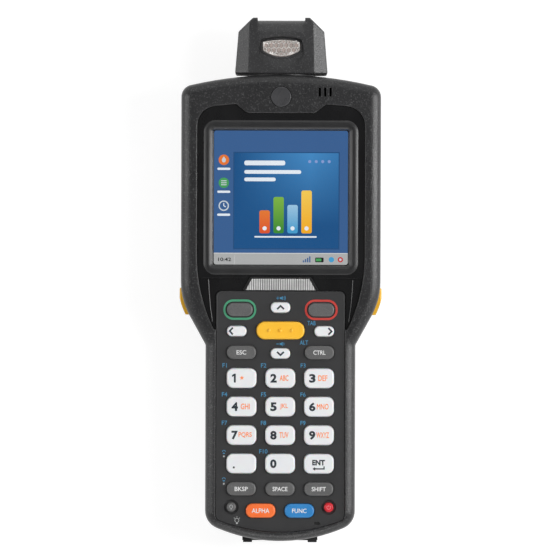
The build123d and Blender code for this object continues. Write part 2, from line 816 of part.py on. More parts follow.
with BuildSketch() as bar_frame:  # everything below the bar's top, and a notch round the bar
    with Locations((0, bar_high_y)):
        Rectangle(head_width, bar_high_y - body_bottom, align=(Align.CENTER, Align.MAX))
    with BuildLine():
        Polyline(
            (-bar_half_bottom - bar_frame_foot, bar_low_y),
            (bar_half_bottom + bar_frame_foot, bar_low_y),
            (bar_half_top + bar_frame_side, bar_high_y + bar_frame_top),
            (-bar_half_top - bar_frame_side, bar_high_y + bar_frame_top),
            close=True,
        )
    make_face()

with BuildPart() as display_surround:
    with BuildSketch(Plane.XY.offset(ledge_z)):
        add(surround_edge)
    extrude(amount=surround_thickness)
    with BuildSketch(Plane.XY.offset(face_z)):  # bevel down to the glass
        with Locations((0, screen_y)):
            RectangleRounded(screen_width + 2 * slope_width, screen_height + 2 * slope_width, slope_corner)
    extrude(
        amount=slope_lip - surround_thickness,
        taper=degrees(atan(slope_width / (surround_thickness - slope_lip))),
        mode=Mode.SUBTRACT,
    )
    with BuildSketch(Plane.XY.offset(face_z - bar_frame_depth)):
        add(bar_frame.sketch)
    extrude(amount=bar_frame_depth, mode=Mode.SUBTRACT)
    with BuildSketch(Plane.XY.offset(ledge_z)):
        with Locations((0, screen_y)):
            Rectangle(screen_width, screen_height)
        add(bar_outline.sketch)
    extrude(amount=surround_thickness, mode=Mode.SUBTRACT)
save(display_surround.part, "display_surround")

panel_z = ledge_z - glass_thickness - panel_thickness
tray_z = panel_z - tray_floor

with BuildPart() as touch_window:
    with BuildSketch(Plane.XY.offset(ledge_z)):
        with Locations((0, screen_y)):
            RectangleRounded(screen_width + 2 * glass_margin, screen_height + 2 * glass_margin, glass_corner)
    extrude(amount=-glass_thickness)
save(touch_window.part, "touch_window")

with BuildPart() as display_panel:
    with BuildSketch(Plane.XY.offset(panel_z)):
        with Locations((0, screen_y)):
            Rectangle(screen_width + 2 * panel_margin, screen_height + 2 * panel_margin)
    extrude(amount=panel_thickness)
save(display_panel.part, "display_panel")

with BuildPart() as display_tray:
    with BuildSketch(Plane.XY.offset(tray_z)):
        with Locations((0, screen_y)):
            Rectangle(tray_width, tray_height)
    extrude(amount=ledge_z - tray_z)
    with BuildSketch(Plane.XY.offset(panel_z)):
        with Locations((0, screen_y)):
            Rectangle(tray_width - 2 * tray_wall, tray_height - 2 * tray_wall)
    extrude(amount=ledge_z - panel_z, mode=Mode.SUBTRACT)
    with BuildSketch(Plane.XY.offset(tray_z)):  # lightening windows in the tray's floor
        with Locations((0, screen_y)):
            with GridLocations(tray_width / 2, tray_height / 2, 2, 2):
                RectangleRounded(tray_width / 2 - tray_bar, tray_height / 2 - tray_bar, tray_window_corner)
    extrude(amount=tray_floor, mode=Mode.SUBTRACT)
save(display_tray.part, "display_tray")

with BuildPart() as indicator_light_bar:
    with BuildSketch(Plane.XY.offset(ledge_z)):
        add(bar_outline.sketch)
        offset(amount=-bar_gap, kind=Kind.INTERSECTION)
    extrude(amount=surround_thickness)
    with BuildSketch(Plane.XY.offset(face_z - bar_groove)):  # fine upright grooves
        with Locations((0, plate_top_y + bar_height / 2)):
            with GridLocations(bar_groove_pitch, bar_height, bar_groove_count, 1):
                Rectangle(bar_groove, bar_height - 2 * bar_groove)
    extrude(amount=bar_groove, mode=Mode.SUBTRACT)
save(indicator_light_bar.part, "indicator_light_bar")

with BuildPart() as emblem_disc:
    with BuildSketch(Plane.XY.offset(body_depth - emblem_seat)):
        with Locations((0, emblem_y)):
            Circle(emblem_radius)
    extrude(amount=emblem_seat + emblem_crown)
    fillet(emblem_disc.faces().sort_by(Axis.Z)[-1].edges(), emblem_crown)
save(emblem_disc.part, "emblem_disc")


# ================================================================ keypad

call_x = plate_width / 2 - 9.6
call_y = plate_top_y - 7.5
up_y = plate_top_y - 6.6
side_arrow_x = plate_width / 2 - 8.4
side_arrow_y = plate_top_y - 16.1
scan_y = plate_top_y - 15.8
scan_side_gap = 4.0  # scan key to the arrows beside it
down_y = plate_top_y - 25.0
escape_x = plate_width / 2 - 10.3
escape_y = plate_top_y - 24.6
colour_x = column_pitch / 2
colour_y = plate_bottom_y + 8.7
round_x = plate_width / 2 - 6.4
round_y = plate_bottom_y + 10.1

arrow_width = 7.8
arrow_length = 4.1
scan_width = 2 * (side_arrow_x - arrow_width / 2 - scan_side_gap)
scan_length = 7.0
digit_size = (column_pitch - column_gap, row_pitch - row_gap, 2.6)
wide_size = (column_pitch - 3.8, 5.4, 2.5)
arrow_size = (arrow_width, arrow_length, 1.9)
call_size = (10.4, 5.4, 2.5)
colour_size = (column_pitch - 3.7, 5.6, 2.6)
scan_size = (scan_width, scan_length, 3.3)
round_size = (3.8, 3.8, 1.85)
scan_bump_pitch = 4.5
scan_bump_radius = 0.7
dish_radius = 3.0
dish_depth = 0.5
dish_taper = 45.0
mic_width = 2.5
mic_height = 1.2
mic_depth = 0.8
mic_place = (14.8, plate_bottom_y + 3.6)

keys = {
    "call_key": (-call_x, call_y, call_size),
    "end_key": (call_x, call_y, call_size),
    "up_key": (0, up_y, arrow_size),
    "left_key": (-side_arrow_x, side_arrow_y, arrow_size),
    "scan_key": (0, scan_y, scan_size),
    "right_key": (side_arrow_x, side_arrow_y, arrow_size),
    "down_key": (0, down_y, arrow_size),
    "esc_key": (-escape_x, escape_y, wide_size),
    "ctrl_key": (escape_x, escape_y, wide_size),
    "bksp_key": (-column_pitch, word_row_y, wide_size),
    "space_key": (0, word_row_y, wide_size),
    "shift_key": (column_pitch, word_row_y, wide_size),
    "alpha_key": (-colour_x, colour_y, colour_size),
    "func_key": (colour_x, colour_y, colour_size),
    "backlight_key": (-round_x, round_y, round_size),
    "power_key": (round_x, round_y, round_size),
}
digit_names = (
    "digit_1_key", "digit_2_key", "digit_3_key",
    "digit_4_key", "digit_5_key", "digit_6_key",
    "digit_7_key", "digit_8_key", "digit_9_key",
    "point_key", "digit_0_key", "enter_key",
)
for index, name in enumerate(digit_names):
    row, column = divmod(index, 3)
    keys[name] = ((column - 1) * column_pitch, first_row_y - row * row_pitch, digit_size)
post_xs = (-column_pitch / 2, column_pitch / 2)
plate_posts = [(x, first_row_y - (row + 0.5) * row_pitch) for x in post_xs for row in range(3)]


def key_sketch(height, grow):
    """Every key's outline at one height, grown by the given amount."""
    with BuildSketch(Plane.XY.offset(height), mode=Mode.PRIVATE) as outlines:
        for x, y, (width, length, corner) in keys.values():
            with Locations((x, y)):
                RectangleRounded(width + 2 * grow, length + 2 * grow, corner + grow)
    return outlines.sketch


with BuildPart() as keypad_plate:
    with BuildSketch(Plane.XY.offset(plate_under_z)):
        add(plate_edge)
    extrude(amount=plate_thickness)
    extrude(key_sketch(plate_under_z, key_gap), amount=plate_thickness, mode=Mode.SUBTRACT)
    with BuildSketch(Plane.XY.offset(face_z)):  # dishes round the two round keys
        with Locations(keys["backlight_key"][:2], keys["power_key"][:2]):
            Circle(dish_radius)
    extrude(amount=-dish_depth, taper=dish_taper, mode=Mode.SUBTRACT)
    with BuildSketch(Plane.XY.offset(face_z)):  # microphone
        with Locations(mic_place):
            SlotOverall(mic_width, mic_height)
    extrude(amount=-mic_depth, mode=Mode.SUBTRACT)
    with BuildSketch(Plane.XY.offset(plate_under_z)):  # posts that stand on the keypad board
        with Locations(*plate_posts):
            Circle(post_radius)
    extrude(amount=mat_under_z - plate_under_z)
save(keypad_plate.part, "keypad_plate")

for name, (x, y, (width, length, corner)) in keys.items():
    with BuildPart() as key:
        with BuildSketch(Plane.XY.offset(plate_under_z)):
            with Locations((x, y)):
                RectangleRounded(width, length, corner)
        extrude(amount=plate_thickness + key_rise)
        fillet(key.faces().sort_by(Axis.Z)[-1].edges(), key_edge_radius)
        with BuildSketch(Plane.XY.offset(flange_under_z)):
            with Locations((x, y)):
                RectangleRounded(width + 2 * key_flange, length + 2 * key_flange, corner + key_flange)
        extrude(amount=key_flange_thickness)
        if name == "scan_key":
            with Locations((x, y, face_z + key_rise)):
                with GridLocations(scan_bump_pitch, scan_bump_pitch, 3, 1):
                    Sphere(scan_bump_radius)
    save(key.part, name)

with BuildPart() as keypad_mat:
    with BuildSketch(Plane.XY.offset(mat_under_z)):
        add(mat_edge)
    extrude(amount=plate_under_z - mat_under_z)
    with BuildSketch(Plane.XY.offset(mat_top_z)):
        add(plate_outline(plate_ledge + fit_gap + mat_rim))
    extrude(amount=plate_under_z - mat_top_z, mode=Mode.SUBTRACT)
    with BuildSketch(Plane.XY.offset(mat_top_z)):  # a dome under each key
        with Locations(*[(x, y) for x, y, size in keys.values()]):
            Circle(dome_radius)
    extrude(amount=dome_height, taper=dome_lean)
    with BuildSketch(Plane.XY.offset(mat_under_z)):
        with Locations(*plate_posts):
            Circle(post_radius + fit_gap)
    extrude(amount=mat_thickness, mode=Mode.SUBTRACT)
save(keypad_mat.part, "keypad_mat")

with BuildPart() as keypad_board:
    with BuildSketch(Plane.XY.offset(key_board_under_z)):
        add(mat_edge)
    extrude(amount=board_thickness)
save(keypad_board.part, "keypad_board")


# ================================================================ side triggers

for name, mirrored in (("right_trigger", False), ("left_trigger", True)):
    with BuildPart() as trigger:
        with BuildSketch(Plane.XY.offset(trigger_low_z)):
            add(trigger_strip(wall + trigger_gap, -trigger_proud, trigger_length))
        extrude(amount=trigger_height)
        fillet(trigger.faces().sort_by(Axis.X)[-1].edges(), trigger_edge_radius)
        with BuildSketch(Plane.XY.offset(trigger_low_z)):
            add(
                trigger_strip(
                    wall + trigger_gap + trigger_flange_thickness,
                    wall + trigger_gap,
                    trigger_length + 2 * trigger_flange,
                )
            )
        extrude(amount=trigger_height)
        if mirrored:
            mirror(about=Plane.YZ, mode=Mode.REPLACE)
    save(trigger.part, name)


# ================================================================ inside the shells

with BuildPart() as main_board:
    with BuildSketch(Plane.XY.offset(main_board_z)):
        with BuildLine() as right:
            Polyline(
                (0, body_top - main_board_top),
                (board_half_head, body_top - main_board_top),
                (board_half_head, board_shoulder_y),
                (board_half_grip, shoulder_foot_y),
                (board_half_grip, board_low_y),
                (board_tail_half, board_low_y),
                (board_tail_half, body_bottom + dock_length),
                (0, body_bottom + dock_length),
            )
            mirror(right.line, about=Plane.YZ)
        make_face()
        with Locations(*boss_places):
            Circle(boss_radius + fit_gap, mode=Mode.SUBTRACT)
    extrude(amount=main_board_thickness)
save(main_board.part, "main_board")

with BuildPart() as shield_cans:
    with BuildSketch(Plane.XY.offset(main_board_top_z)):
        for x, y, width, length in can_places:
            with Locations((x, y)):
                RectangleRounded(width, length, can_corner)
    extrude(amount=can_height)
    fillet(shield_cans.faces().filter_by(Axis.Z).group_by(Axis.Z)[-1].edges(), can_edge_radius)
save(shield_cans.part, "shield_cans")

with BuildPart() as loudspeaker:
    with BuildSketch(Plane.XY.offset(wall)):
        with Locations((0, speaker_y)):
            Circle(speaker_radius)
    extrude(amount=speaker_depth)
    fillet(loudspeaker.faces().sort_by(Axis.Z)[-1].edges(), speaker_edge_radius)
    with BuildSketch(Plane.XY.offset(wall + speaker_depth)):
        with Locations((0, speaker_y)):
            Circle(speaker_magnet_radius)
    extrude(amount=speaker_magnet_depth)
save(loudspeaker.part, "loudspeaker")

trigger_inset = wall + trigger_gap + trigger_flange_thickness
switch_fall = shoulder_top_y + shoulder_radius * tan(radians(shoulder_angle) / 2) - trigger_y + switch_length / 2
trigger_inner_x = head_width / 2 - trigger_inset - arc_drop(shoulder_radius - trigger_inset, switch_fall)
switch_face_x = trigger_inner_x - trigger_travel - switch_gap
switch_x = switch_face_x - switch_width / 2
with BuildPart() as trigger_switches:
    with BuildSketch(Plane.XY.offset(main_board_top_z)):
        with Locations((switch_x, trigger_y), (-switch_x, trigger_y)):
            Rectangle(switch_width, switch_length)
    extrude(amount=switch_height)
    with Locations((0, trigger_y, main_board_top_z + switch_height - plunger_drop)):
        Cylinder(plunger_radius, 2 * (switch_face_x + plunger_length), rotation=(0, 90, 0))
        Box(2 * (switch_face_x - switch_width), switch_length, switch_height, mode=Mode.SUBTRACT)
save(trigger_switches.part, "trigger_switches")

with BuildPart() as dock_connector:
    with BuildSketch(Plane.XY.offset(split_z - dock_height / 2)):
        with Locations((0, body_bottom + dock_length / 2)):
            Rectangle(dock_width, dock_length)
        with Locations((dock_tab_x, body_bottom - tab_drop / 2), (-dock_tab_x, body_bottom - tab_drop / 2)):
            Rectangle(dock_tab_width, tab_drop)
    extrude(amount=dock_height)
    with BuildSketch(Plane((0, body_bottom, split_z), x_dir=(1, 0, 0), z_dir=(0, -1, 0))):
        Rectangle(dock_pocket_width, dock_pocket_height)
    extrude(amount=-dock_pocket_depth, mode=Mode.SUBTRACT)
    with BuildSketch(Plane((0, body_bottom + dock_pocket_depth, split_z), x_dir=(1, 0, 0), z_dir=(0, -1, 0))):
        with GridLocations(dock_pin_pitch, dock_pin_pitch, dock_pin_count, 1):
            Rectangle(dock_pin_width, dock_pin_height)
    extrude(amount=dock_pin_length)
save(dock_connector.part, "dock_connector")

pack_length = bay_length - pack_end_gap - pack_foot_gap
pack_y = bay_bottom_y + pack_foot_gap + pack_length / 2
contact_y = pack_y + pack_length / 2 - contact_set_back

with BuildPart() as battery_contacts:
    with BuildSketch(Plane.XY.offset(bay_ceiling_z)):
        with Locations((0, contact_y)):
            Rectangle(contact_width, contact_length)
    extrude(amount=-contact_drop)
    with BuildSketch(Plane.XY.offset(bay_ceiling_z - contact_drop)):  # slots between the blades
        with Locations((0, contact_y)):
            with GridLocations(contact_pitch, contact_pitch, contact_count - 1, 1):
                Rectangle(contact_slot, contact_length)
    extrude(amount=contact_drop / 2, mode=Mode.SUBTRACT)
save(battery_contacts.part, "battery_contacts")

with BuildPart() as battery_pack:
    with BuildSketch(Plane.XY.offset(pack_under_z)):
        with Locations((0, pack_y)):
            RectangleRounded(pack_width, pack_length, pack_corner_radius)
    extrude(amount=pack_thickness)
    fillet(battery_pack.faces().sort_by(Axis.Z)[-1].edges(), pack_edge_radius)
    fillet(battery_pack.faces().sort_by(Axis.Z)[0].edges(), pack_edge_radius)
    with BuildSketch(Plane.XY.offset(pack_under_z + pack_thickness)):
        with Locations((0, contact_y)):
            Rectangle(contact_width + 2 * contact_room, contact_length + 2 * contact_room)
    extrude(amount=-contact_drop - contact_room, mode=Mode.SUBTRACT)
save(battery_pack.part, "battery_pack")


# ================================================================ battery door

door_half = door_width / 2 - fit_gap
knuckle_room = [barrel(x, knuckle_length + 2 * knuckle_gap, hinge_radius + hinge_room) for x in knuckle_places]
door_barrel = barrel(0, 2 * door_half, hinge_radius)
door_bore = barrel(0, 2 * door_half, hinge_pin_radius + hinge_running_gap)

strip_low_y = door_top_y - lip_length
with BuildPart() as door_strip:  # strip let into the door's top edge, which the lock holds
    with BuildSketch(Plane.XY.offset(lip_depth)):
        with Locations((0, strip_low_y)):
            Rectangle(2 * door_half, lip_length - fit_gap, align=(Align.CENTER, Align.MIN))
    extrude(amount=door_thickness - lip_depth)

with BuildPart() as door_plate:
    with BuildSketch():
        with Locations((0, hinge_y)):
            Rectangle(2 * door_half, strip_low_y - hinge_y, align=(Align.CENTER, Align.MIN))
    extrude(amount=door_thickness)
    add(door_barrel)
    for room in knuckle_room:
        add(room, mode=Mode.SUBTRACT)
    add(door_bore, mode=Mode.SUBTRACT)
    with BuildSketch(Plane.XY.offset(door_thickness)):  # rails that carry the pack
        with Locations((door_rib_x, pack_y), (-door_rib_x, pack_y)):
            Rectangle(door_rib_width, pack_length - 2 * pack_corner_radius)
    extrude(amount=door_rib)
    with BuildSketch():  # finger grooves
        with Locations((0, door_top_y - groove_set_back)):
            with GridLocations(groove_pitch, groove_pitch, 1, groove_count):
                SlotOverall(groove_length, groove_width)
    extrude(amount=groove_depth, mode=Mode.SUBTRACT)
save(Compound([*door_plate.solids(), *door_strip.solids()]), "battery_door")

with BuildPart() as door_hinge_pin:
    add(barrel(0, pin_length, hinge_pin_radius))
save(door_hinge_pin.part, "door_hinge_pin")

with BuildPart() as door_lock:
    with BuildSketch(Plane.XY.offset(fit_gap / 2)):
        with Locations((0, lock_y)):
            Rectangle(lock_width, lock_length)
    extrude(amount=lock_track_depth - fit_gap / 2)
    with BuildSketch(Plane.XY.offset(fit_gap / 2)):
        with Locations((0, lock_low_y - lock_travel / 2)):
            Rectangle(tongue_width, lock_travel)
    extrude(amount=tongue_thickness - fit_gap / 2)
    with BuildSketch(Plane.XY.offset(lock_track_depth)):
        with Locations((0, lock_y)):
            Rectangle(lock_stem_width, lock_stem_length)
    extrude(amount=wall + fit_gap / 2 - lock_track_depth)
    with BuildSketch(Plane.XY.offset(wall + fit_gap / 2)):
        with Locations((0, lock_y)):
            Rectangle(lock_stem_width + 2 * lock_flange, lock_stem_length)
    extrude(amount=lock_flange)
    with BuildSketch(Plane.XY.offset(fit_gap / 2)):  # thumb ridges
        with Locations((0, lock_y)):
            with GridLocations(lock_ridge_pitch, lock_ridge_pitch, 1, lock_ridge_count):
                Rectangle(lock_width - 2 * lock_ridge_margin, lock_ridge_pitch / 2)
    extrude(amount=lock_ridge_depth, mode=Mode.SUBTRACT)
save(door_lock.part, "door_lock")


# ================================================================ scan head

head_half_depth = head_depth / 2
head_half = head_base_width / 2
facet_half = head_front_flat / 2
facet_z = head_half_depth - head_facet_depth
head_split_z = split_z + head_split
lean = radians(head_taper)
tilt = radians(window_tilt)
head_top_y = head_base_y + head_height
front_tilt = Vector(0, sin(lean), cos(lean))
window_up = Vector(0, sin(tilt), cos(tilt))
window_normal = Vector(0, cos(tilt), -sin(tilt))
slope_top = Vector(0, head_top_y - channel_depth, split_z + window_top)
window_centre = slope_top - window_up * window_set_back


hood_y = head_top_y - channel_depth - hood_radius
hood_z = split_z + head_half_depth - (hood_y - head_base_y) * tan(lean) - hood_radius


def window_plane(depth):
    """Plane parallel to the scan window's slope, set below it by depth."""
    origin = window_centre - window_normal * depth
    return Plane(origin=origin, x_dir=(1, 0, 0), z_dir=window_normal)


with BuildPart() as head_block:
    with BuildSketch(along_y(head_base_y)):
        with BuildLine():
            Polyline(
                (head_half, -facet_z),
                (head_half, facet_z),
                (facet_half, head_half_depth),
                (-facet_half, head_half_depth),
                (-head_half, facet_z),
                (-head_half, -facet_z),
                (-facet_half, -head_half_depth),
                (facet_half, -head_half_depth),
                close=True,
            )
        make_face()
    extrude(amount=head_height, taper=head_taper)
    ear_foot = head_half - (head_height - ear_cut) * tan(lean)
    with BuildSketch():
        with BuildLine() as right_ear:
            Polyline(
                (ear_foot, head_top_y - ear_cut),
                (ear_foot - ear_cut_width, head_top_y),
                (head_half, head_top_y),
                (head_half, head_top_y - ear_cut),
                close=True,
            )
        make_face()
        mirror(about=Plane.YZ)
    extrude(amount=body_depth, mode=Mode.SUBTRACT)

with BuildPart() as head_inside:
    add(head_block.part)
    with BuildSketch(window_plane(0)):
        Rectangle(4 * head_half, 4 * head_height)
    extrude(amount=2 * head_height, mode=Mode.SUBTRACT)
    offset(amount=-head_wall, kind=Kind.INTERSECTION, mode=Mode.REPLACE)
    split(bisect_by=Plane.XY.offset(split_z + head_half_depth - head_front_wall), keep=Keep.BOTTOM)

with BuildPart() as head_form:
    add(head_block.part)
    with BuildSketch(window_plane(-channel_depth)):
        Rectangle(4 * head_half, 4 * head_height)
    extrude(amount=2 * head_height, mode=Mode.SUBTRACT)
    fillet(head_form.edges(), head_edge_radius)
    with BuildSketch(window_plane(0)):  # channel between the cheeks
        Rectangle(channel_width, 4 * head_height)
    extrude(amount=2 * head_height, mode=Mode.SUBTRACT)
    with Locations((0, head_top_y, split_z)):
        Box(channel_width, 2 * channel_depth, body_depth, mode=Mode.SUBTRACT)
    with BuildSketch(Plane.YZ.offset(-channel_width / 2)):  # rolled front of the hood
        with Locations((hood_y, hood_z)):
            Rectangle(2 * hood_radius, 2 * hood_radius, align=Align.MIN)
            Circle(hood_radius, mode=Mode.SUBTRACT)
    extrude(amount=channel_width, mode=Mode.SUBTRACT)
    add(head_inside.part, mode=Mode.SUBTRACT)
    with BuildSketch(along_y(head_base_y)):
        Circle(spigot_radius)
    extrude(amount=head_wall, mode=Mode.SUBTRACT)

scoop_lean = lean + radians(scoop_tilt)
scoop_normal = Vector(0, sin(scoop_lean), cos(scoop_lean))
scoop_up = Vector(0, cos(scoop_lean), -sin(scoop_lean))
scoop_foot_z = split_z + head_half_depth - scoop_low * tan(lean) - scoop_sill
scoop_foot = Vector(0, head_base_y + scoop_low, scoop_foot_z)


def scoop_plane(rise):
    """The scoop's floor, centred at a rise above the head's base."""
    origin = scoop_foot + scoop_up * ((rise - scoop_low) / cos(scoop_lean))
    return Plane(origin=origin, x_dir=(1, 0, 0), z_dir=scoop_normal)


def scoop_outline():
    """The scoop seen from the front: a bowl under a flat arch, centred on the lens."""
    low = (scoop_low - lens_rise) / cos(scoop_lean)
    with BuildSketch(mode=Mode.PRIVATE) as outline:
        with BuildLine():
            ThreePointArc((-scoop_top_half_width, scoop_brow), (0, scoop_high), (scoop_top_half_width, scoop_brow))
            Line((scoop_top_half_width, scoop_brow), (scoop_half_width, -scoop_cheek))
            ThreePointArc((scoop_half_width, -scoop_cheek), (0, low), (-scoop_half_width, -scoop_cheek))
            Line((-scoop_half_width, -scoop_cheek), (-scoop_top_half_width, scoop_brow))
        make_face()
        fillet(outline.vertices(), scoop_corner)
    return outline.sketch


def lens_outline(grow):
    """The lens seen from the front: a flat arch over a deeper one."""
    half = lens_half_width + grow
    high = lens_height / 2 + grow
    with BuildSketch(mode=Mode.PRIVATE) as outline:
        with BuildLine():
            ThreePointArc((-half, lens_shoulder), (0, high), (half, lens_shoulder))
            Line((half, lens_shoulder), (half, -lens_chin))
            ThreePointArc((half, -lens_chin), (0, -high), (-half, -lens_chin))
            Line((-half, -lens_chin), (-half, lens_shoulder))
        make_face()
        fillet(outline.vertices(), lens_corner)
    return outline.sketch


with BuildPart() as head_front_shell:
    add(head_form.part)
    split(bisect_by=Plane.XY.offset(head_split_z), keep=Keep.TOP)
    with BuildSketch(scoop_plane(lens_rise)):
        add(scoop_outline())
    extrude(amount=head_front_wall, mode=Mode.SUBTRACT)
    with BuildSketch(scoop_plane(lens_rise)):
        add(lens_outline(lens_rim))
    extrude(amount=lens_rim_height)
    with BuildSketch(scoop_plane(lens_rise)):
        add(lens_outline(lens_gap))
    extrude(amount=-lens_seat, both=True, mode=Mode.SUBTRACT)
    with BuildSketch(scoop_plane(lens_rise)):  # hole for the lamp behind the lens
        Circle(lamp_radius)
    extrude(amount=-head_front_wall, mode=Mode.SUBTRACT)
save(head_front_shell.part, "head_front_shell")

with BuildPart() as status_light_lens:
    with BuildSketch(scoop_plane(lens_rise)):
        add(lens_outline(0))
    extrude(amount=lens_proud)
    lens_front = status_light_lens.faces().sort_by(Axis((0, 0, 0), scoop_normal))[-1]
    fillet(lens_front.edges(), lens_edge_radius)
    with BuildSketch(scoop_plane(lens_rise)):
        add(lens_outline(0))
    extrude(amount=-lens_seat)
save(status_light_lens.part, "status_light_lens")

with BuildPart() as head_rear_shell:
    add(head_form.part)
    split(bisect_by=Plane.XY.offset(head_split_z), keep=Keep.BOTTOM)
    with BuildSketch(window_plane(0)):
        RectangleRounded(window_width + 2 * window_gap, window_length + 2 * window_gap, window_corner)
    extrude(amount=-window_seat, mode=Mode.SUBTRACT)
    with BuildSketch(window_plane(0)):
        RectangleRounded(window_width - 2 * window_ledge, window_length - 2 * window_ledge, window_corner)
    extrude(amount=-2 * head_wall, mode=Mode.SUBTRACT)
save(head_rear_shell.part, "head_rear_shell")

with BuildPart() as scan_window:
    with BuildSketch(window_plane(window_seat)):
        RectangleRounded(window_width, window_length, window_corner)
    extrude(amount=window_thickness)
save(scan_window.part, "scan_window")

engine_y = head_base_y + head_wall
with BuildPart() as scan_engine:
    with BuildSketch(along_y(engine_y)):
        Rectangle(engine_width, engine_depth)
    extrude(amount=engine_height)
    fillet(scan_engine.edges().filter_by(Axis.Y), engine_edge_radius)
    with BuildSketch(window_plane(engine_set_back)):
        Rectangle(2 * head_half, 4 * head_height)
    extrude(amount=head_height, mode=Mode.SUBTRACT)
    with BuildSketch(window_plane(engine_set_back)):
        RectangleRounded(engine_width - 2 * engine_aperture_margin, engine_aperture, engine_edge_radius)
    extrude(amount=-engine_aperture_depth, mode=Mode.SUBTRACT)
save(scan_engine.part, "scan_engine")

seal_y = (collar_y + recess_y) / 2
neck_foot_y = collar_y - neck_axial_gap - neck_flange_thickness
with BuildPart() as turret_spindle:
    with BuildSketch(Plane.XY.offset(split_z)):
        with BuildLine():
            Polyline(
                (neck_bore, neck_foot_y),
                (neck_radius + neck_flange, neck_foot_y),
                (neck_radius + neck_flange, neck_foot_y + neck_flange_thickness),
                (neck_radius, neck_foot_y + neck_flange_thickness),
                (neck_radius, seal_y - seal_width / 2),
                (neck_radius - seal_depth, seal_y - seal_width / 2),
                (neck_radius - seal_depth, seal_y + seal_width / 2),
                (neck_radius, seal_y + seal_width / 2),
                (neck_radius, head_base_y - skirt_depth),
                (skirt_radius, head_base_y - skirt_depth),
                (skirt_radius, head_base_y),
                (spigot_radius, head_base_y),
                (spigot_radius, head_base_y + head_wall - fit_gap),
                (neck_bore, head_base_y + head_wall - fit_gap),
                close=True,
            )
        make_face()
    revolve(axis=Axis((0, 0, split_z), (0, 1, 0)))
save(turret_spindle.part, "turret_spindle")

with BuildPart() as neck_seal:
    with BuildSketch(along_y(seal_y - seal_width / 2)):
        Circle(neck_radius)
        Circle(neck_radius - seal_depth, mode=Mode.SUBTRACT)
    extrude(amount=seal_width)
save(neck_seal.part, "neck_seal")
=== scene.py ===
import math

import bmesh
import bpy
from mathutils import Matrix, Vector


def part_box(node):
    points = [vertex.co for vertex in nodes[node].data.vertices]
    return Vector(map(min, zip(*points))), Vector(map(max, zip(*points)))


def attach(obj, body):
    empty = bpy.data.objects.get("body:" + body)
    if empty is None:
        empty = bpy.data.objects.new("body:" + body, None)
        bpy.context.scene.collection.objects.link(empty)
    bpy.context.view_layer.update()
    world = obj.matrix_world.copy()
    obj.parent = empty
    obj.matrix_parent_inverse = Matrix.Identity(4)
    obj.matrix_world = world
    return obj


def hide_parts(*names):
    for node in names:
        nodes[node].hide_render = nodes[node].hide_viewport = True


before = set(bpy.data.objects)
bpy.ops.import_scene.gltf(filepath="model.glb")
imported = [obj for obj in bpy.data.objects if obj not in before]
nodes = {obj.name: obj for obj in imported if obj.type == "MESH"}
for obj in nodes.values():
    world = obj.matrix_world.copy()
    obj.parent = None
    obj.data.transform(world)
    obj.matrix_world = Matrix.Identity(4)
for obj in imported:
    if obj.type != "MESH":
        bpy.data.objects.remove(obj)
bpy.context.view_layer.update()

mm = 0.001
print("loaded", len(nodes), "solids")


# colours are given as screen values from 0 to 255
def tint(red, green, blue):
    out = []
    for value in (red, green, blue):
        share = value / 255
        out.append(share / 12.92 if share <= 0.04045 else ((share + 0.055) / 1.055) ** 2.4)
    return (*out, 1.0)


def lighter(colour, step):
    return tuple(min(255, value + step) for value in colour)


# inputs take a link or a plain value
def feed(tree, node, inputs):
    for socket, source in inputs.items():
        if isinstance(source, bpy.types.NodeSocket):
            tree.links.new(source, node.inputs[socket])
        else:
            node.inputs[socket].default_value = source


def addNode(tree, kind, inputs=None, **settings):
    node = tree.nodes.new(kind)
    for name, value in settings.items():
        setattr(node, name, value)
    feed(tree, node, inputs or {})
    return node


def calc(tree, operation, first, second=0.0):
    return addNode(tree, "ShaderNodeMath", {0: first, 1: second}, operation=operation).outputs[0]


def mixColour(tree, share, first, second):
    return addNode(tree, "ShaderNodeMix", {0: share, 6: first, 7: second}, data_type="RGBA").outputs[2]


def ranged(tree, source, low, high, newLow=0.0, newHigh=1.0):
    inputs = {"Value": source, "From Min": low, "From Max": high, "To Min": newLow, "To Max": newHigh}
    return addNode(tree, "ShaderNodeMapRange", inputs).outputs["Result"]


# every output is a number; an input given as three numbers is a vector
def newGroup(name, inputs, outputs):
    group = bpy.data.node_groups.new(name, "ShaderNodeTree")
    for label, value in inputs.items():
        kind = "NodeSocketVector" if isinstance(value, tuple) else "NodeSocketFloat"
        group.interface.new_socket(name=label, in_out="INPUT", socket_type=kind).default_value = value
    for label in outputs:
        group.interface.new_socket(name=label, in_out="OUTPUT", socket_type="NodeSocketFloat")
    return group, group.nodes.new("NodeGroupInput").outputs, group.nodes.new("NodeGroupOutput")


# the piece's own place in millimetres
def objectPlace(tree):
    place = addNode(tree, "ShaderNodeTexCoord").outputs["Object"]
    return addNode(tree, "ShaderNodeVectorMath", {0: place, "Scale": 1 / mm}, operation="SCALE").outputs[0]


def noise(tree, place, size, detail, **more):
    inputs = {"Vector": place, "Scale": calc(tree, "DIVIDE", 1.0, size), "Detail": detail, **more}
    return addNode(tree, "ShaderNodeTexNoise", inputs).outputs["Fac"]


# spark-eroded mould texture: grain and mottle are sizes in millimetres
grainLook = {"fineShare": 0.65, "pitShare": 0.5, "tone": (0.3, 0.7), "speck": (0.55, 0.72)}


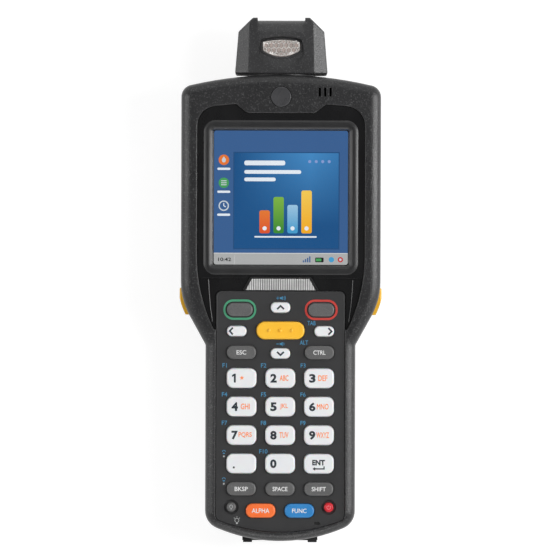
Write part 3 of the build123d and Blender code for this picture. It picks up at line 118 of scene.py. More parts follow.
def makeMouldGrain():
    group, given, out = newGroup("mouldGrain", {"Grain": 0.3, "Mottle": 6.0}, ("Height", "Tone", "Speck"))
    place = objectPlace(group)
    perGrain = calc(group, "DIVIDE", 1.0, given["Grain"])
    pits = addNode(group, "ShaderNodeTexVoronoi", {"Vector": place, "Scale": perGrain}).outputs["Distance"]
    fine = noise(group, place, given["Grain"], 2.0, Roughness=0.6)
    slow = noise(group, place, given["Mottle"], 3.0)
    fineHeight = calc(group, "MULTIPLY", fine, grainLook["fineShare"])
    pitHeight = calc(group, "MULTIPLY", pits, grainLook["pitShare"])
    height = calc(group, "ADD", fineHeight, pitHeight)
    tone, speck = ranged(group, slow, *grainLook["tone"]), ranged(group, fine, *grainLook["speck"])
    feed(group, out, {"Height": height, "Tone": tone, "Speck": speck})
    return group


# where an edge is lightened, partly as wear and partly as a painted edge highlight: the bevelled normal
# against the true one, broken up in patches
edgeWearAndHighlightLook = {"turned": (0.01, 0.16), "patches": (0.35, 0.65), "least": 0.35}


def makeEdgeRub():
    group, given, out = newGroup("edgeWearAndHighlight", {"Width": 0.0004, "Breakup": 2.0}, ("Mask",))
    bevel = addNode(group, "ShaderNodeBevel", {"Radius": given["Width"]}).outputs["Normal"]
    true = addNode(group, "ShaderNodeNewGeometry").outputs["Normal"]
    dot = addNode(group, "ShaderNodeVectorMath", {0: bevel, 1: true}, operation="DOT_PRODUCT")
    turned = ranged(group, calc(group, "SUBTRACT", 1.0, dot.outputs["Value"]), *edgeWearAndHighlightLook["turned"])
    patches = noise(group, objectPlace(group), given["Breakup"], 4.0)
    broken = ranged(group, patches, *edgeWearAndHighlightLook["patches"], edgeWearAndHighlightLook["least"], 1.0)
    feed(group, out, {"Mask": calc(group, "MULTIPLY", turned, broken)})
    return group


# finger smears: long soft patches that change the gloss
smearLook = {"turn": (0.2, 0.1, 0.7), "stretch": (1.0, 0.45, 1.0), "span": (0.38, 0.66), "wander": 0.6}


def makeHandling():
    group, given, out = newGroup("handling", {"Size": 14.0}, ("Smear",))
    turned = {"Vector": objectPlace(group), "Rotation": smearLook["turn"], "Scale": smearLook["stretch"]}
    place = addNode(group, "ShaderNodeMapping", turned).outputs[0]
    patches = noise(group, place, given["Size"], 5.0, Distortion=smearLook["wander"])
    feed(group, out, {"Smear": ranged(group, patches, *smearLook["span"])})
    return group


# fine drawn or brushed lines along one way of the part
brushLook = {"size": 0.5, "tone": (0.3, 0.7)}


def makeBrushing():
    group, given, out = newGroup("brushing", {"Stretch": (0.05, 4.0, 4.0)}, ("Height", "Tone"))
    stretched = {"Vector": objectPlace(group), "Scale": given["Stretch"]}
    lines = noise(group, addNode(group, "ShaderNodeMapping", stretched).outputs[0], brushLook["size"], 4.0)
    feed(group, out, {"Height": lines, "Tone": ranged(group, lines, *brushLook["tone"])})
    return group


# copper runs and pads under a board's lacquer
boardLook = {"scatter": 0.9, "padSize": 0.16, "runWidth": 0.03, "runShare": 0.5}


def makeBoardRuns():
    group, given, out = newGroup("boardRuns", {"Pitch": 1.3}, ("Copper", "Height"))
    spread = {"Vector": objectPlace(group), "Scale": calc(group, "DIVIDE", 1.0, given["Pitch"])}
    cellInputs = {**spread, "Randomness": boardLook["scatter"]}
    cells = addNode(group, "ShaderNodeTexVoronoi", cellInputs, distance="CHEBYCHEV")
    runs = addNode(group, "ShaderNodeTexBrick", {**spread, "Mortar Size": boardLook["runWidth"]})
    pads = calc(group, "LESS_THAN", cells.outputs["Distance"], boardLook["padSize"])
    lines = calc(group, "MULTIPLY", runs.outputs["Fac"], boardLook["runShare"])
    copper = calc(group, "MAXIMUM", pads, lines)
    feed(group, out, {"Copper": copper, "Height": copper})
    return group


# dark lines at an even pitch across the part, one in its middle
def makeRibLines():
    group, given, out = newGroup("ribLines", {"Pitch": 0.9, "Share": 0.4}, ("Line",))
    across = addNode(group, "ShaderNodeSeparateXYZ", {0: objectPlace(group)}).outputs[0]
    steps = calc(group, "ADD", calc(group, "DIVIDE", across, given["Pitch"]), 0.5)
    away = calc(group, "ABSOLUTE", calc(group, "SUBTRACT", calc(group, "FRACT", steps), 0.5))
    edge = calc(group, "MULTIPLY", given["Share"], 0.5)
    feed(group, out, {"Line": calc(group, "LESS_THAN", away, edge)})
    return group


# the faint grid of a lit display
gridLook = {"edge": (0.42, 0.5), "dimmed": 0.82}


def makePixelGrid():
    group, given, out = newGroup("pixelGrid", {"Pitch": 0.17}, ("Light",))
    split = addNode(group, "ShaderNodeSeparateXYZ", {0: objectPlace(group)}).outputs
    shares = []
    for axis in (0, 1):
        step = calc(group, "FRACT", calc(group, "DIVIDE", split[axis], given["Pitch"]))
        away = calc(group, "ABSOLUTE", calc(group, "SUBTRACT", step, 0.5))
        shares.append(ranged(group, away, *gridLook["edge"], 1.0, gridLook["dimmed"]))
    feed(group, out, {"Light": calc(group, "MULTIPLY", *shares)})
    return group


mouldGrain = makeMouldGrain()
edgeWearAndHighlight = makeEdgeRub()
handling = makeHandling()
brushing = makeBrushing()
boardRuns = makeBoardRuns()
ribLines = makeRibLines()
pixelGrid = makePixelGrid()
print("built shader groups")


def placeGroup(tree, group, **values):
    return addNode(tree, "ShaderNodeGroup", values, node_tree=group).outputs


def newMaterial(name):
    material = bpy.data.materials.new(name)
    material.use_nodes = True
    return material, material.node_tree, material.node_tree.nodes["Principled BSDF"]


def bump(tree, height, depth):
    return addNode(tree, "ShaderNodeBump", {"Height": height, "Distance": depth * mm}).outputs[0]


# how much lighter an edge (partly wear, partly a painted edge highlight) and a speck are than the plastic, in
# screen values
plasticLook = {"tone": 0.5, "wearAndHighlightTone": 70, "wearAndHighlightLeast": 12, "speck": 60, "scatterDepth": 0.4}


# every moulded plastic, in millimetres; gloss is the roughness where smeared and where clean
def moulded(name, base, light, grain=0.3, depth=0.02, gloss=(0.42, 0.56), wearAndHighlight=0.25, wearAndHighlightWidth=0.35,
            speck=0.0, specular=0.5, mottle=6.0, scatter=0.0):
    material, tree, shader = newMaterial(name)
    texture = placeGroup(tree, mouldGrain, Grain=grain, Mottle=mottle)
    edge = placeGroup(tree, edgeWearAndHighlight, Width=wearAndHighlightWidth * mm)["Mask"]
    smears = placeGroup(tree, handling)["Smear"]
    tone = calc(tree, "MULTIPLY", texture["Tone"], plasticLook["tone"])
    colour = mixColour(tree, tone, tint(*base), tint(*light))
    # edges are lightened here: partly wear, partly a painted edge highlight
    wearAndHighlightTone = lighter(light, plasticLook["wearAndHighlightTone"] * wearAndHighlight + plasticLook["wearAndHighlightLeast"])
    colour = mixColour(tree, calc(tree, "MULTIPLY", edge, wearAndHighlight), colour, tint(*wearAndHighlightTone))
    if speck:
        bright = lighter(light, plasticLook["speck"])
        colour = mixColour(tree, calc(tree, "MULTIPLY", texture["Speck"], speck), colour, tint(*bright))
    feed(tree, shader, {
        "Base Color": colour, "Roughness": ranged(tree, smears, 0.0, 1.0, gloss[1], gloss[0]),
        "Normal": bump(tree, texture["Height"], depth), "Specular IOR Level": specular,
        "Subsurface Weight": scatter, "Subsurface Scale": plasticLook["scatterDepth"] * mm,
    })
    return material


metalLook = {"dull": 0.82, "wearAndHighlight": 0.5, "wearAndHighlightWidth": 0.2, "wearAndHighlightTone": 30, "depth": 0.006}


def metal(name, base, gloss=(0.25, 0.42), stretch=(0.05, 4.0, 4.0)):
    material, tree, shader = newMaterial(name)
    lines = placeGroup(tree, brushing, Stretch=stretch)
    edge = placeGroup(tree, edgeWearAndHighlight, Width=metalLook["wearAndHighlightWidth"] * mm)["Mask"]
    dull = tuple(value * metalLook["dull"] for value in base)
    colour = mixColour(tree, lines["Tone"], tint(*dull), tint(*base))
    wearAndHighlightTone = lighter(base, metalLook["wearAndHighlightTone"])
    colour = mixColour(tree, calc(tree, "MULTIPLY", edge, metalLook["wearAndHighlight"]), colour, tint(*wearAndHighlightTone))
    feed(tree, shader, {
        "Base Color": colour, "Roughness": ranged(tree, lines["Tone"], 0.0, 1.0, *gloss),
        "Normal": bump(tree, lines["Height"], metalLook["depth"]), "Metallic": 1.0,
    })
    return material


# the edge lightening set for each finish below is partly wear, partly a painted edge highlight
housingSkin = {"wearAndHighlight": 0.35, "grain": 0.6, "depth": 0.1, "gloss": (0.26, 0.36), "speck": 0.5, "specular": 0.4}
headSkin = {"wearAndHighlight": 0.35, "grain": 0.55, "depth": 0.08, "gloss": (0.3, 0.42), "speck": 0.4}
keyFace = {"wearAndHighlight": 0.0, "grain": 0.15, "depth": 0.004, "gloss": (0.3, 0.42)}
whiteFace = {**keyFace, "gloss": (0.32, 0.45), "scatter": 0.15}
smooth = {"grain": 0.2, "depth": 0.006, "gloss": (0.2, 0.3)}
rubbery = {"wearAndHighlight": 0.1, "grain": 0.3, "depth": 0.01}
plastics = {
    "housingPlastic": {"base": (37, 37, 38), "light": (46, 46, 47), **housingSkin},
    "headPlastic": {"base": (45, 45, 46), "light": (54, 54, 55), **headSkin},
    "surroundPlastic": {"base": (16, 16, 17), "light": (22, 22, 23), **smooth, "wearAndHighlight": 0.3, "wearAndHighlightWidth": 0.25,
                        "specular": 0.4},
    "framePlastic": {"base": (30, 30, 31), "light": (38, 38, 39), "grain": 0.3, "depth": 0.01,
                     "gloss": (0.34, 0.44), "wearAndHighlight": 0.3, "wearAndHighlightWidth": 0.25},
    "platePlastic": {"base": (38, 38, 39), "light": (44, 44, 45), "grain": 0.25, "depth": 0.012,
                     "gloss": (0.5, 0.62), "wearAndHighlight": 0.4, "wearAndHighlightWidth": 0.25},
    # the emblem's lighter grey and strong edge lightening stand in part for its sheen: partly its own colour,
    # partly painted sheen
    "emblemPlastic": {"base": (56, 56, 58), "light": (80, 80, 82), **smooth, "wearAndHighlight": 0.6},
    "keyWhite": {"base": (231, 232, 234), "light": (238, 239, 240), **whiteFace},
    "keyGrey": {"base": (88, 88, 88), "light": (98, 98, 98), "grain": 0.25, "depth": 0.012,
                "gloss": (0.4, 0.5), "wearAndHighlight": 0.2, "speck": 0.3},
    "keyYellow": {"base": (253, 190, 46), "light": (255, 202, 64), **keyFace},
    "keyOrange": {"base": (248, 112, 50), "light": (254, 130, 66), **keyFace},
    "keyBlue": {"base": (44, 126, 192), "light": (58, 142, 206), **keyFace},
    "keyRed": {"base": (206, 34, 46), "light": (220, 50, 60), **keyFace},
    "matRubber": {"base": (58, 60, 64), "light": (66, 68, 72), **rubbery, "gloss": (0.6, 0.72)},
    "sealRubber": {"base": (16, 16, 17), "light": (22, 22, 23), **rubbery, "gloss": (0.55, 0.7)},
    "speakerBlack": {"base": (26, 26, 27), "light": (34, 34, 35), "wearAndHighlight": 0.2},
    "switchPlastic": {"base": (30, 30, 32), "light": (40, 40, 42), "grain": 0.2, "depth": 0.01, "wearAndHighlight": 0.3},
    "dockPlastic": {"base": (26, 26, 27), "light": (34, 34, 35), "gloss": (0.36, 0.5), "wearAndHighlight": 0.35},
    "batteryPlastic": {"base": (40, 41, 44), "light": (48, 49, 52), "grain": 0.35, "wearAndHighlight": 0.35, "speck": 0.2},
    "lockPlastic": {"base": (58, 58, 60), "light": (68, 68, 70), "wearAndHighlight": 0.5},
    "lensPlastic": {"base": (164, 154, 149), "light": (194, 174, 166), "grain": 0.6, "depth": 0.002,
                    "gloss": (0.14, 0.24), "wearAndHighlight": 0.2, "mottle": 2.5},
    "combPlastic": {"base": (244, 240, 236), "light": (250, 246, 243), "grain": 0.4, "depth": 0.002,
                    "gloss": (0.2, 0.32), "wearAndHighlight": 0.0},
    "displayFace": {"base": (8, 9, 12), "light": (12, 13, 16), **smooth, "depth": 0.002, "wearAndHighlight": 0.0},
}
metals = {
    "trayAluminium": {"base": (176, 178, 181)},
    "canSteel": {"base": (186, 188, 190), "gloss": (0.22, 0.36)},
    "screwSteel": {"base": (70, 70, 74), "gloss": (0.28, 0.4), "stretch": (3.0, 3.0, 3.0)},
    "pinSteel": {"base": (172, 172, 175), "stretch": (0.05, 6.0, 6.0)},
    "contactBrass": {"base": (214, 176, 92), "gloss": (0.2, 0.34), "stretch": (4.0, 0.1, 4.0)},
    "engineAluminium": {"base": (120, 122, 126), "stretch": (3.0, 3.0, 0.2)},
}
finishes = {name: moulded(name, **values) for name, values in plastics.items()}
finishes.update({name: metal(name, **values) for name, values in metals.items()})

# screen-printed ink: nearly flat, with the print's own fine unevenness
printed = {"grain": 0.18, "depth": 0.002, "gloss": (0.45, 0.6), "wearAndHighlight": 0.0, "mottle": 2.0}
inkColours = {
    "dark": (34, 42, 50), "orange": (250, 146, 90), "white": (226, 226, 226), "pale": (170, 172, 172),
    "blue": (62, 134, 174), "green": (66, 150, 112), "red": (196, 58, 50), "rose": (236, 130, 138),
}
inks = {}
for name, base in inkColours.items():
    inks[name] = moulded("ink" + name.title(), base, lighter(base, 6), **printed)

boardPaint = {"pitch": 1.3, "lacquer": (16, 74, 44), "copper": (60, 128, 72), "depth": 0.03,
              "values": {"Roughness": 0.3, "Coat Weight": 0.6}}


def makeBoard():
    material, tree, shader = newMaterial("boardGreen")
    runs = placeGroup(tree, boardRuns, Pitch=boardPaint["pitch"])
    colour = mixColour(tree, runs["Copper"], tint(*boardPaint["lacquer"]), tint(*boardPaint["copper"]))
    normal = bump(tree, runs["Height"], boardPaint["depth"])
    feed(tree, shader, {"Base Color": colour, "Normal": normal, **boardPaint["values"]})
    return material


lightBar = {"base": (196, 196, 195), "light": (216, 216, 215), "line": (128, 128, 128), "pitch": 0.9,
            "share": 0.42, "grain": 0.5, "mottle": 3.0, "depth": 0.01, "roughness": 0.34}


def makeLightBar():
    material, tree, shader = newMaterial("lightBarPlastic")
    texture = placeGroup(tree, mouldGrain, Grain=lightBar["grain"], Mottle=lightBar["mottle"])
    line = placeGroup(tree, ribLines, Pitch=lightBar["pitch"], Share=lightBar["share"])["Line"]
    colour = mixColour(tree, texture["Tone"], tint(*lightBar["base"]), tint(*lightBar["light"]))
    colour = mixColour(tree, line, colour, tint(*lightBar["line"]))
    normal = bump(tree, texture["Height"], lightBar["depth"])
    feed(tree, shader, {"Base Color": colour, "Normal": normal, "Roughness": lightBar["roughness"]})
    return material


glassLook = {"smearSize": 22.0, "smearDims": 0.985, "roughness": 0.03,
             "values": {"Transmission Weight": 1.0, "IOR": 1.5}}


def makeGlass(name, base):
    material, tree, shader = newMaterial(name)
    smears = placeGroup(tree, handling, Size=glassLook["smearSize"])["Smear"]
    dimmed = tuple(value * glassLook["smearDims"] for value in base)
    colour = mixColour(tree, smears, tint(*base), tint(*dimmed))
    roughness = ranged(tree, smears, 0.0, 1.0, 0.0, glassLook["roughness"])
    feed(tree, shader, {"Base Color": colour, "Roughness": roughness, **glassLook["values"]})
    return material


finishes["boardGreen"] = makeBoard()
finishes["lightBarPlastic"] = makeLightBar()
finishes["touchGlass"] = makeGlass("touchGlass", (250, 252, 252))
finishes["scanGlass"] = makeGlass("scanGlass", (150, 40, 44))

wornBy = {
    "housingPlastic": ["front_housing", "rear_housing", "battery_door"],
    "headPlastic": ["head_front_shell", "head_rear_shell"],
    "surroundPlastic": ["display_surround"],
    "platePlastic": ["keypad_plate"],
    "emblemPlastic": ["emblem_disc"],
    "keyGrey": ["call_key", "end_key", "esc_key", "ctrl_key", "bksp_key", "space_key", "shift_key",
                "backlight_key"],
    "keyWhite": ["up_key", "left_key", "right_key", "down_key", "point_key", "enter_key",
                 *(f"digit_{number}_key" for number in range(10))],
    "keyYellow": ["scan_key", "left_trigger", "right_trigger"],
    "keyOrange": ["alpha_key"],
    "keyBlue": ["func_key"],
    "keyRed": ["power_key"],
    "touchGlass": ["touch_window"],
    "displayFace": ["display_panel"],
    "trayAluminium": ["display_tray"],
    "lightBarPlastic": ["indicator_light_bar"],
    "matRubber": ["keypad_mat"],
    "sealRubber": ["housing_gasket", "neck_seal"],
    "boardGreen": ["keypad_board", "main_board"],
    "canSteel": ["shield_cans"],
    "screwSteel": ["housing_screws"],
    "pinSteel": ["door_hinge_pin"],
    "speakerBlack": ["loudspeaker"],
    "switchPlastic": ["trigger_switches"],
    "dockPlastic": ["dock_connector", "turret_spindle"],
    "contactBrass": ["battery_contacts"],
    "batteryPlastic": ["battery_pack"],
    "lockPlastic": ["door_lock"],
    "scanGlass": ["scan_window"],
    "engineAluminium": ["scan_engine"],
    "lensPlastic": ["status_light_lens"],
}
for finish, names in wornBy.items():
    for name in names:
        for slot in nodes[name].material_slots:
            slot.material = finishes[finish]
print("dressed", sum(map(len, wornBy.values())), "of", len(nodes), "solids")


# flat shapes, in millimetres, as (points, faces)
def words(text, height, width=None, weight=0.0):
    curve = bpy.data.curves.new("words", "FONT")
    curve.body = text
    curve.offset = weight
    curve.resolution_u = 3
    holder = bpy.data.objects.new("words", curve)
    mesh = bpy.data.meshes.new_from_object(holder)
    points = [vertex.co.copy() for vertex in mesh.vertices]
    faces = [tuple(face.vertices) for face in mesh.polygons]
    bpy.data.objects.remove(holder)
    bpy.data.curves.remove(curve)
    bpy.data.meshes.remove(mesh)
    lowX, highX = min(p.x for p in points), max(p.x for p in points)
    lowY, highY = min(p.y for p in points), max(p.y for p in points)
    scaleY = height / (highY - lowY)
    scaleX = width / (highX - lowX) if width else scaleY
    middleX, middleY = (lowX + highX) / 2, (lowY + highY) / 2
    return [((p.x - middleX) * scaleX, (p.y - middleY) * scaleY) for p in points], faces


def polygon(points):
    return list(points), [tuple(range(len(points)))]


# a line of even width through the points, mitred at its corners: left points first, then right ones
def stroke(points, width, closed=False):
    count = len(points)
    path = [Vector(p) for p in points]
    left, right = [], []
    for index, point in enumerate(path):
        before = path[index - 1] if index or closed else None
        after = path[(index + 1) % count] if index < count - 1 or closed else None
        steps = ((before, point), (point, after))
        ways = [(b - a).normalized() for a, b in steps if a is not None and b is not None]
        sides = [Vector((-way.y, way.x)) for way in ways]
        side = sum(sides, Vector((0.0, 0.0)))
        side.normalize()
        reach = width / 2 / max(0.35, side.dot(sides[0]))  # a sharp corner's mitre is kept short
        left.append(point + side * reach)
        right.append(point - side * reach)
    faces = []
    for index in range(count if closed else count - 1):
        following = (index + 1) % count
        faces.append((index, following, count + following, count + index))
    return [tuple(p) for p in left + right], faces


def arcPoints(radius, start, end, steps, centre=(0.0, 0.0)):
    turns = [math.radians(start + (end - start) * step / steps) for step in range(steps + 1)]
    return [(centre[0] + radius * math.cos(turn), centre[1] + radius * math.sin(turn)) for turn in turns]


def roundedOutline(width, height, corner, steps=8):
    points = []
    for signX, signY, start in ((1, 1, 0), (-1, 1, 90), (-1, -1, 180), (1, -1, 270)):
        centre = (signX * (width / 2 - corner), signY * (height / 2 - corner))
        points += arcPoints(corner, start, start + 90, steps, centre)
    return points


def tile(width, height, corner, steps=3):
    return polygon(roundedOutline(width, height, corner, steps))


def box(width, height):
    x, y = width / 2, height / 2
    return polygon([(-x, -y), (x, -y), (x, y), (-x, y)])


def disc(radius, steps=20):
    return polygon(arcPoints(radius, 0, 360 - 360 / steps, steps - 1))


def moved(shape, x, y, turn=0.0):
    c, s = math.cos(math.radians(turn)), math.sin(math.radians(turn))
    return [(x + px * c - py * s, y + px * s + py * c) for px, py in shape[0]], shape[1]


# the form becomes a piece of the scene
def linkPiece(name, form, materials):
    mesh = bpy.data.meshes.new(name)
    form.to_mesh(mesh)
    form.free()
    for material in materials:
        mesh.materials.append(material)
    piece = bpy.data.objects.new(name, mesh)
    bpy.context.scene.collection.objects.link(piece)
    return piece


# the flat faces of a form are raised into a solid
def raiseFaces(form, height):
    raised = bmesh.ops.extrude_face_region(form, geom=form.faces[:], use_keep_orig=True)
    lifted = [item for item in raised["geom"] if isinstance(item, bmesh.types.BMVert)]
    bmesh.ops.translate(form, verts=lifted, vec=(0, 0, height))
    bmesh.ops.recalc_face_normals(form, faces=form.faces)


# points nearer than this become one, in millimetres, and bends below this in radians are left out
weld = {"near": 0.002, "straight": 0.01}


def raisedShape(shape, low, high):
    points, faces = shape
    form = bmesh.new()
    corners = [form.verts.new((x * mm, y * mm, low * mm)) for x, y in points]
    for face in faces:
        form.faces.new([corners[index] for index in face])
    bmesh.ops.remove_doubles(form, verts=form.verts, dist=weld["near"] * mm)
    bmesh.ops.dissolve_limit(form, angle_limit=weld["straight"], verts=form.verts, edges=form.edges)
    raiseFaces(form, (high - low) * mm)
    return form


# thin raised prints: items are (shape, material), all on one level in the print's own frame
def printPiece(name, items, body, low, high, place=None):
    form = bmesh.new()
    materials = []
    for shape, material in items:
        if material not in materials:
            materials.append(material)
        part = raisedShape(shape, low, high)
        for face in part.faces:
            face.material_index = materials.index(material)
        scratch = bpy.data.meshes.new("scratch")
        part.to_mesh(scratch)
        part.free()
        form.from_mesh(scratch)
        bpy.data.meshes.remove(scratch)
    bmesh.ops.triangulate(form, faces=[face for face in form.faces if len(face.verts) > 4])
    if place is not None:
        form.transform(place)
    piece = linkPiece(name, form, materials)
    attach(piece, body)


legend = {"sink": 0.02, "rise": 0.03}


def keyTop(name):
    low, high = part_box(name)
    return (low.x + high.x) / 2 / mm, (low.y + high.y) / 2 / mm, high.z / mm


# shapes are (shape, across, up, ink), from the middle of the key
def keyLegend(name, shapes):
    x, y, top = keyTop(name)
    items = [(moved(shape, x + across, y + up), inks[ink]) for shape, across, up, ink in shapes]
    piece = name.replace("_key", "") + "Legend"
    printPiece(piece, items, name, top - legend["sink"], top + legend["rise"])


# white digit keys: a figure to the left, a group of letters or a star to the right
digits = {"height": 3.5, "width": 2.55, "across": -2.7, "oneAcross": -2.95, "weight": 0.045}
letters = {"height": 2.3, "across": 1.5, "up": 0.1, "weight": 0.02}
star = {"points": 5, "outer": 0.95, "inner": 0.42, "across": 0.1, "up": 0.1}
figureOne = [(0.62, -1.75), (0.62, 1.75), (-0.05, 1.75), (-0.9, 1.2), (-0.9, 0.45), (-0.14, 0.85),
             (-0.14, -1.75)]
letterGroups = {  # text and width
    2: ("ABC", 3.5), 3: ("DEF", 3.7), 4: ("GHI", 3.6), 5: ("JKL", 3.2),
    6: ("MNO", 4.7), 7: ("PQRS", 5.3), 8: ("TUV", 3.7), 9: ("WXYZ", 5.1),
}


def starShape():
    points = []
    for step in range(2 * star["points"]):
        turn = math.radians(180 / star["points"] * step)
        radius = star["inner"] if step % 2 else star["outer"]
        points.append((radius * math.sin(turn), radius * math.cos(turn)))
    return polygon(points)


for number in range(10):
    figure = words(str(number), digits["height"], digits["width"], digits["weight"])
    shapes = [(figure, digits["across"], 0.0, "dark")]
    if number == 1:
        shapes = [(polygon(figureOne), digits["oneAcross"], 0.0, "dark")]
        shapes.append((starShape(), star["across"], star["up"], "orange"))
    if number in letterGroups:
        text, width = letterGroups[number]
        group = words(text, letters["height"], width, letters["weight"])
        shapes.append((group, letters["across"], letters["up"], "orange"))
    keyLegend(f"digit_{number}_key", shapes)

keyWords = {  # text, width and height
    "esc_key": ("ESC", 3.9, 1.75), "ctrl_key": ("CTRL", 4.9, 1.75), "bksp_key": ("BKSP", 5.3, 1.75),
    "space_key": ("SPACE", 6.0, 1.75), "shift_key": ("SHIFT", 5.7, 1.75), "alpha_key": ("ALPHA", 7.1, 1.8),
    "func_key": ("FUNC", 5.8, 1.8),
}
keyWordWeight = 0.015
for name, (text, width, height) in keyWords.items():
    keyLegend(name, [(words(text, height, width, keyWordWeight), 0.0, 0.0, "white")])

chevron = {"across": 2.7, "rise": 1.3, "line": 0.66}
chevronX, chevronY = chevron["across"] / 2, chevron["rise"] / 2
chevronUp = stroke([(-chevronX, -chevronY), (0, chevronY), (chevronX, -chevronY)], chevron["line"])
arrowKeys = {"up_key": (0.0, 0), "down_key": (0.0, 180), "left_key": (-2.2, 90), "right_key": (2.3, -90)}
for name, (across, turn) in arrowKeys.items():
    keyLegend(name, [(moved(chevronUp, 0, 0, turn), across, 0.0, "dark")])

point = {"radius": 0.42, "across": -3.0, "up": -1.5}
keyLegend("point_key", [(disc(point["radius"]), point["across"], point["up"], "dark")])

enter = {"height": 2.2, "width": 5.1, "weight": 0.045, "across": -0.1, "wordUp": 0.5, "arrowUp": -2.0,
         "line": 0.5}
enterWord = words("ENT", enter["height"], enter["width"], enter["weight"])
returnShaft = stroke([(2.2, 1.0), (2.2, 0.0), (-1.7, 0.0)], enter["line"])
returnHead = polygon([(-2.5, 0.0), (-1.4, -0.65), (-1.4, 0.65)])
keyLegend("enter_key", [
    (enterWord, enter["across"], enter["wordUp"], "dark"),
    (returnShaft, enter["across"], enter["arrowUp"], "dark"),
    (returnHead, enter["across"], enter["arrowUp"], "dark"),
])

power = {"radius": 0.75, "gap": 70, "bar": (0.15, 0.95), "line": 0.24}
powerArc = arcPoints(power["radius"], 90 + power["gap"] / 2, 450 - power["gap"] / 2, 18)
powerRing = stroke(powerArc, power["line"])
powerBar = stroke([(0, y) for y in power["bar"]], power["line"])
keyLegend("power_key", [(powerRing, 0, 0, "rose"), (powerBar, 0, 0, "rose")])


# a bulb's round glass, open where its foot stands
def bulbGlass(radius, line):
    return stroke(arcPoints(radius, -60, 240, 14), line)


keyBulb = {"radius": 0.62, "line": 0.2, "up": 0.25, "foot": (0.55, 0.5), "footUp": -0.65}
keyLegend("backlight_key", [
    (bulbGlass(keyBulb["radius"], keyBulb["line"]), 0, keyBulb["up"], "pale"),
    (box(*keyBulb["foot"]), 0, keyBulb["footUp"], "pale"),
])
print("printed the keys")


# prints on the keypad plate
keyStand = 1.2  # from the plate to a key's top
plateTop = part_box("call_key")[1].z / mm - keyStand
plateInk = 0.02
ring = {"width": 12.3, "height": 7.3, "corner": 3.5, "line": 0.85}
plateWords = {"height": 1.7, "weight": 0.008, "sideWidth": 3.3}
labelColumns = (-22.3, -6.7, 9.1)
labelRows = (-34.1, -45.7, -57.1, -68.5)
sideLabels = {"TAB": (12.4, -17.1), "ALT": (9.4, -24.9)}
volume = {"x": 0.6, "waveX": 0.7, "up": -7.15, "down": -25.5, "near": 0.75, "far": 1.25, "line": 0.22,
          "signX": -1.1, "sign": 1.1, "signLine": 0.28}
dimmer = {"x": -22.5, "up": -68.7, "down": -79.7, "radius": 0.62, "line": 0.22, "arrowDrop": 0.6,
          "dot": 0.36, "dotDrop": 1.8}
plateBulb = {"x": -17.2, "y": -96.1, "radius": 0.8, "line": 0.22, "foot": 0.7, "footDrop": 1.15,
             "rays": (40, 90, 140), "raySpan": (1.15, 1.6), "rayLine": 0.2}
plateItems = []


def printOnPlate(shape, x, y, ink):
    plateItems.append((moved(shape, x, y), inks[ink]))


ringLine = stroke(roundedOutline(ring["width"], ring["height"], ring["corner"]), ring["line"], closed=True)
for name, ink in (("call_key", "green"), ("end_key", "red")):
    x, y, top = keyTop(name)
    printOnPlate(ringLine, x, y, ink)

functionPlaces = [(x, y) for y in labelRows[:3] for x in labelColumns] + [(labelColumns[1], labelRows[3])]
for number, (x, y) in enumerate(functionPlaces, 1):
    printOnPlate(words(f"F{number}", plateWords["height"], weight=plateWords["weight"]), x, y, "blue")
for label, (x, y) in sideLabels.items():
    shape = words(label, plateWords["height"], plateWords["sideWidth"], plateWords["weight"])
    printOnPlate(shape, x, y, "blue")

# a speaker with one wave and a minus, or two waves and a plus
speakerBody = polygon([(-0.9, -0.35), (-0.35, -0.35), (0.25, -0.8), (0.25, 0.8), (-0.35, 0.35), (-0.9, 0.35)])
for y, waves in ((volume["up"], ("near", "far")), (volume["down"], ("near",))):
    printOnPlate(speakerBody, volume["x"], y, "blue")
    for wave in waves:
        printOnPlate(stroke(arcPoints(volume[wave], -45, 45, 6), volume["line"]), volume["waveX"], y, "blue")
    printOnPlate(box(volume["sign"], volume["signLine"]), volume["signX"], y, "blue")
printOnPlate(box(volume["signLine"], volume["sign"]), volume["signX"], volume["up"], "blue")

# a half round with an arrow up or down and a dot, for the backlight's brightness
arrowUp = polygon([(-0.55, -0.2), (0.55, -0.2), (0.0, 0.35)])
arrowDown = polygon([(-0.55, 0.2), (0.0, -0.4), (0.55, 0.2)])
for y, arrow in ((dimmer["up"], arrowUp), (dimmer["down"], arrowDown)):
    printOnPlate(stroke(arcPoints(dimmer["radius"], 0, 180, 8), dimmer["line"]), dimmer["x"], y, "blue")
    printOnPlate(arrow, dimmer["x"], y - dimmer["arrowDrop"], "blue")
    printOnPlate(disc(dimmer["dot"]), dimmer["x"], y - dimmer["dotDrop"], "pale")

x, y = plateBulb["x"], plateBulb["y"]
printOnPlate(bulbGlass(plateBulb["radius"], plateBulb["line"]), x, y, "pale")
printOnPlate(box(plateBulb["foot"], plateBulb["foot"]), x, y - plateBulb["footDrop"], "pale")
for angle in plateBulb["rays"]:
    turn = math.radians(angle)
    ray = [(radius * math.cos(turn), radius * math.sin(turn)) for radius in plateBulb["raySpan"]]
    printOnPlate(stroke(ray, plateBulb["rayLine"]), x, y, "pale")
printPiece("platePrint", plateItems, "housing", plateTop - plateInk, plateTop + plateInk)
print("printed the keypad plate")


# a body swept through rings of points, closed from the last ring to the first
def sweptForm(rings, closed):
    form = bmesh.new()
    loops = [[form.verts.new((x * mm, y * mm, z * mm)) for x, y, z in ring] for ring in rings]
    count = len(loops[0])
    for first, second in zip(loops, loops[1:] + loops[:1]):
        for index in range(count if closed else count - 1):
            following = (index + 1) % count
            form.faces.new((first[index], first[following], second[following], second[index]))
    if not closed:
        for end in (0, count - 1):
            form.faces.new([loop[end] for loop in loops])
    bmesh.ops.recalc_face_normals(form, faces=form.faces)
    return form


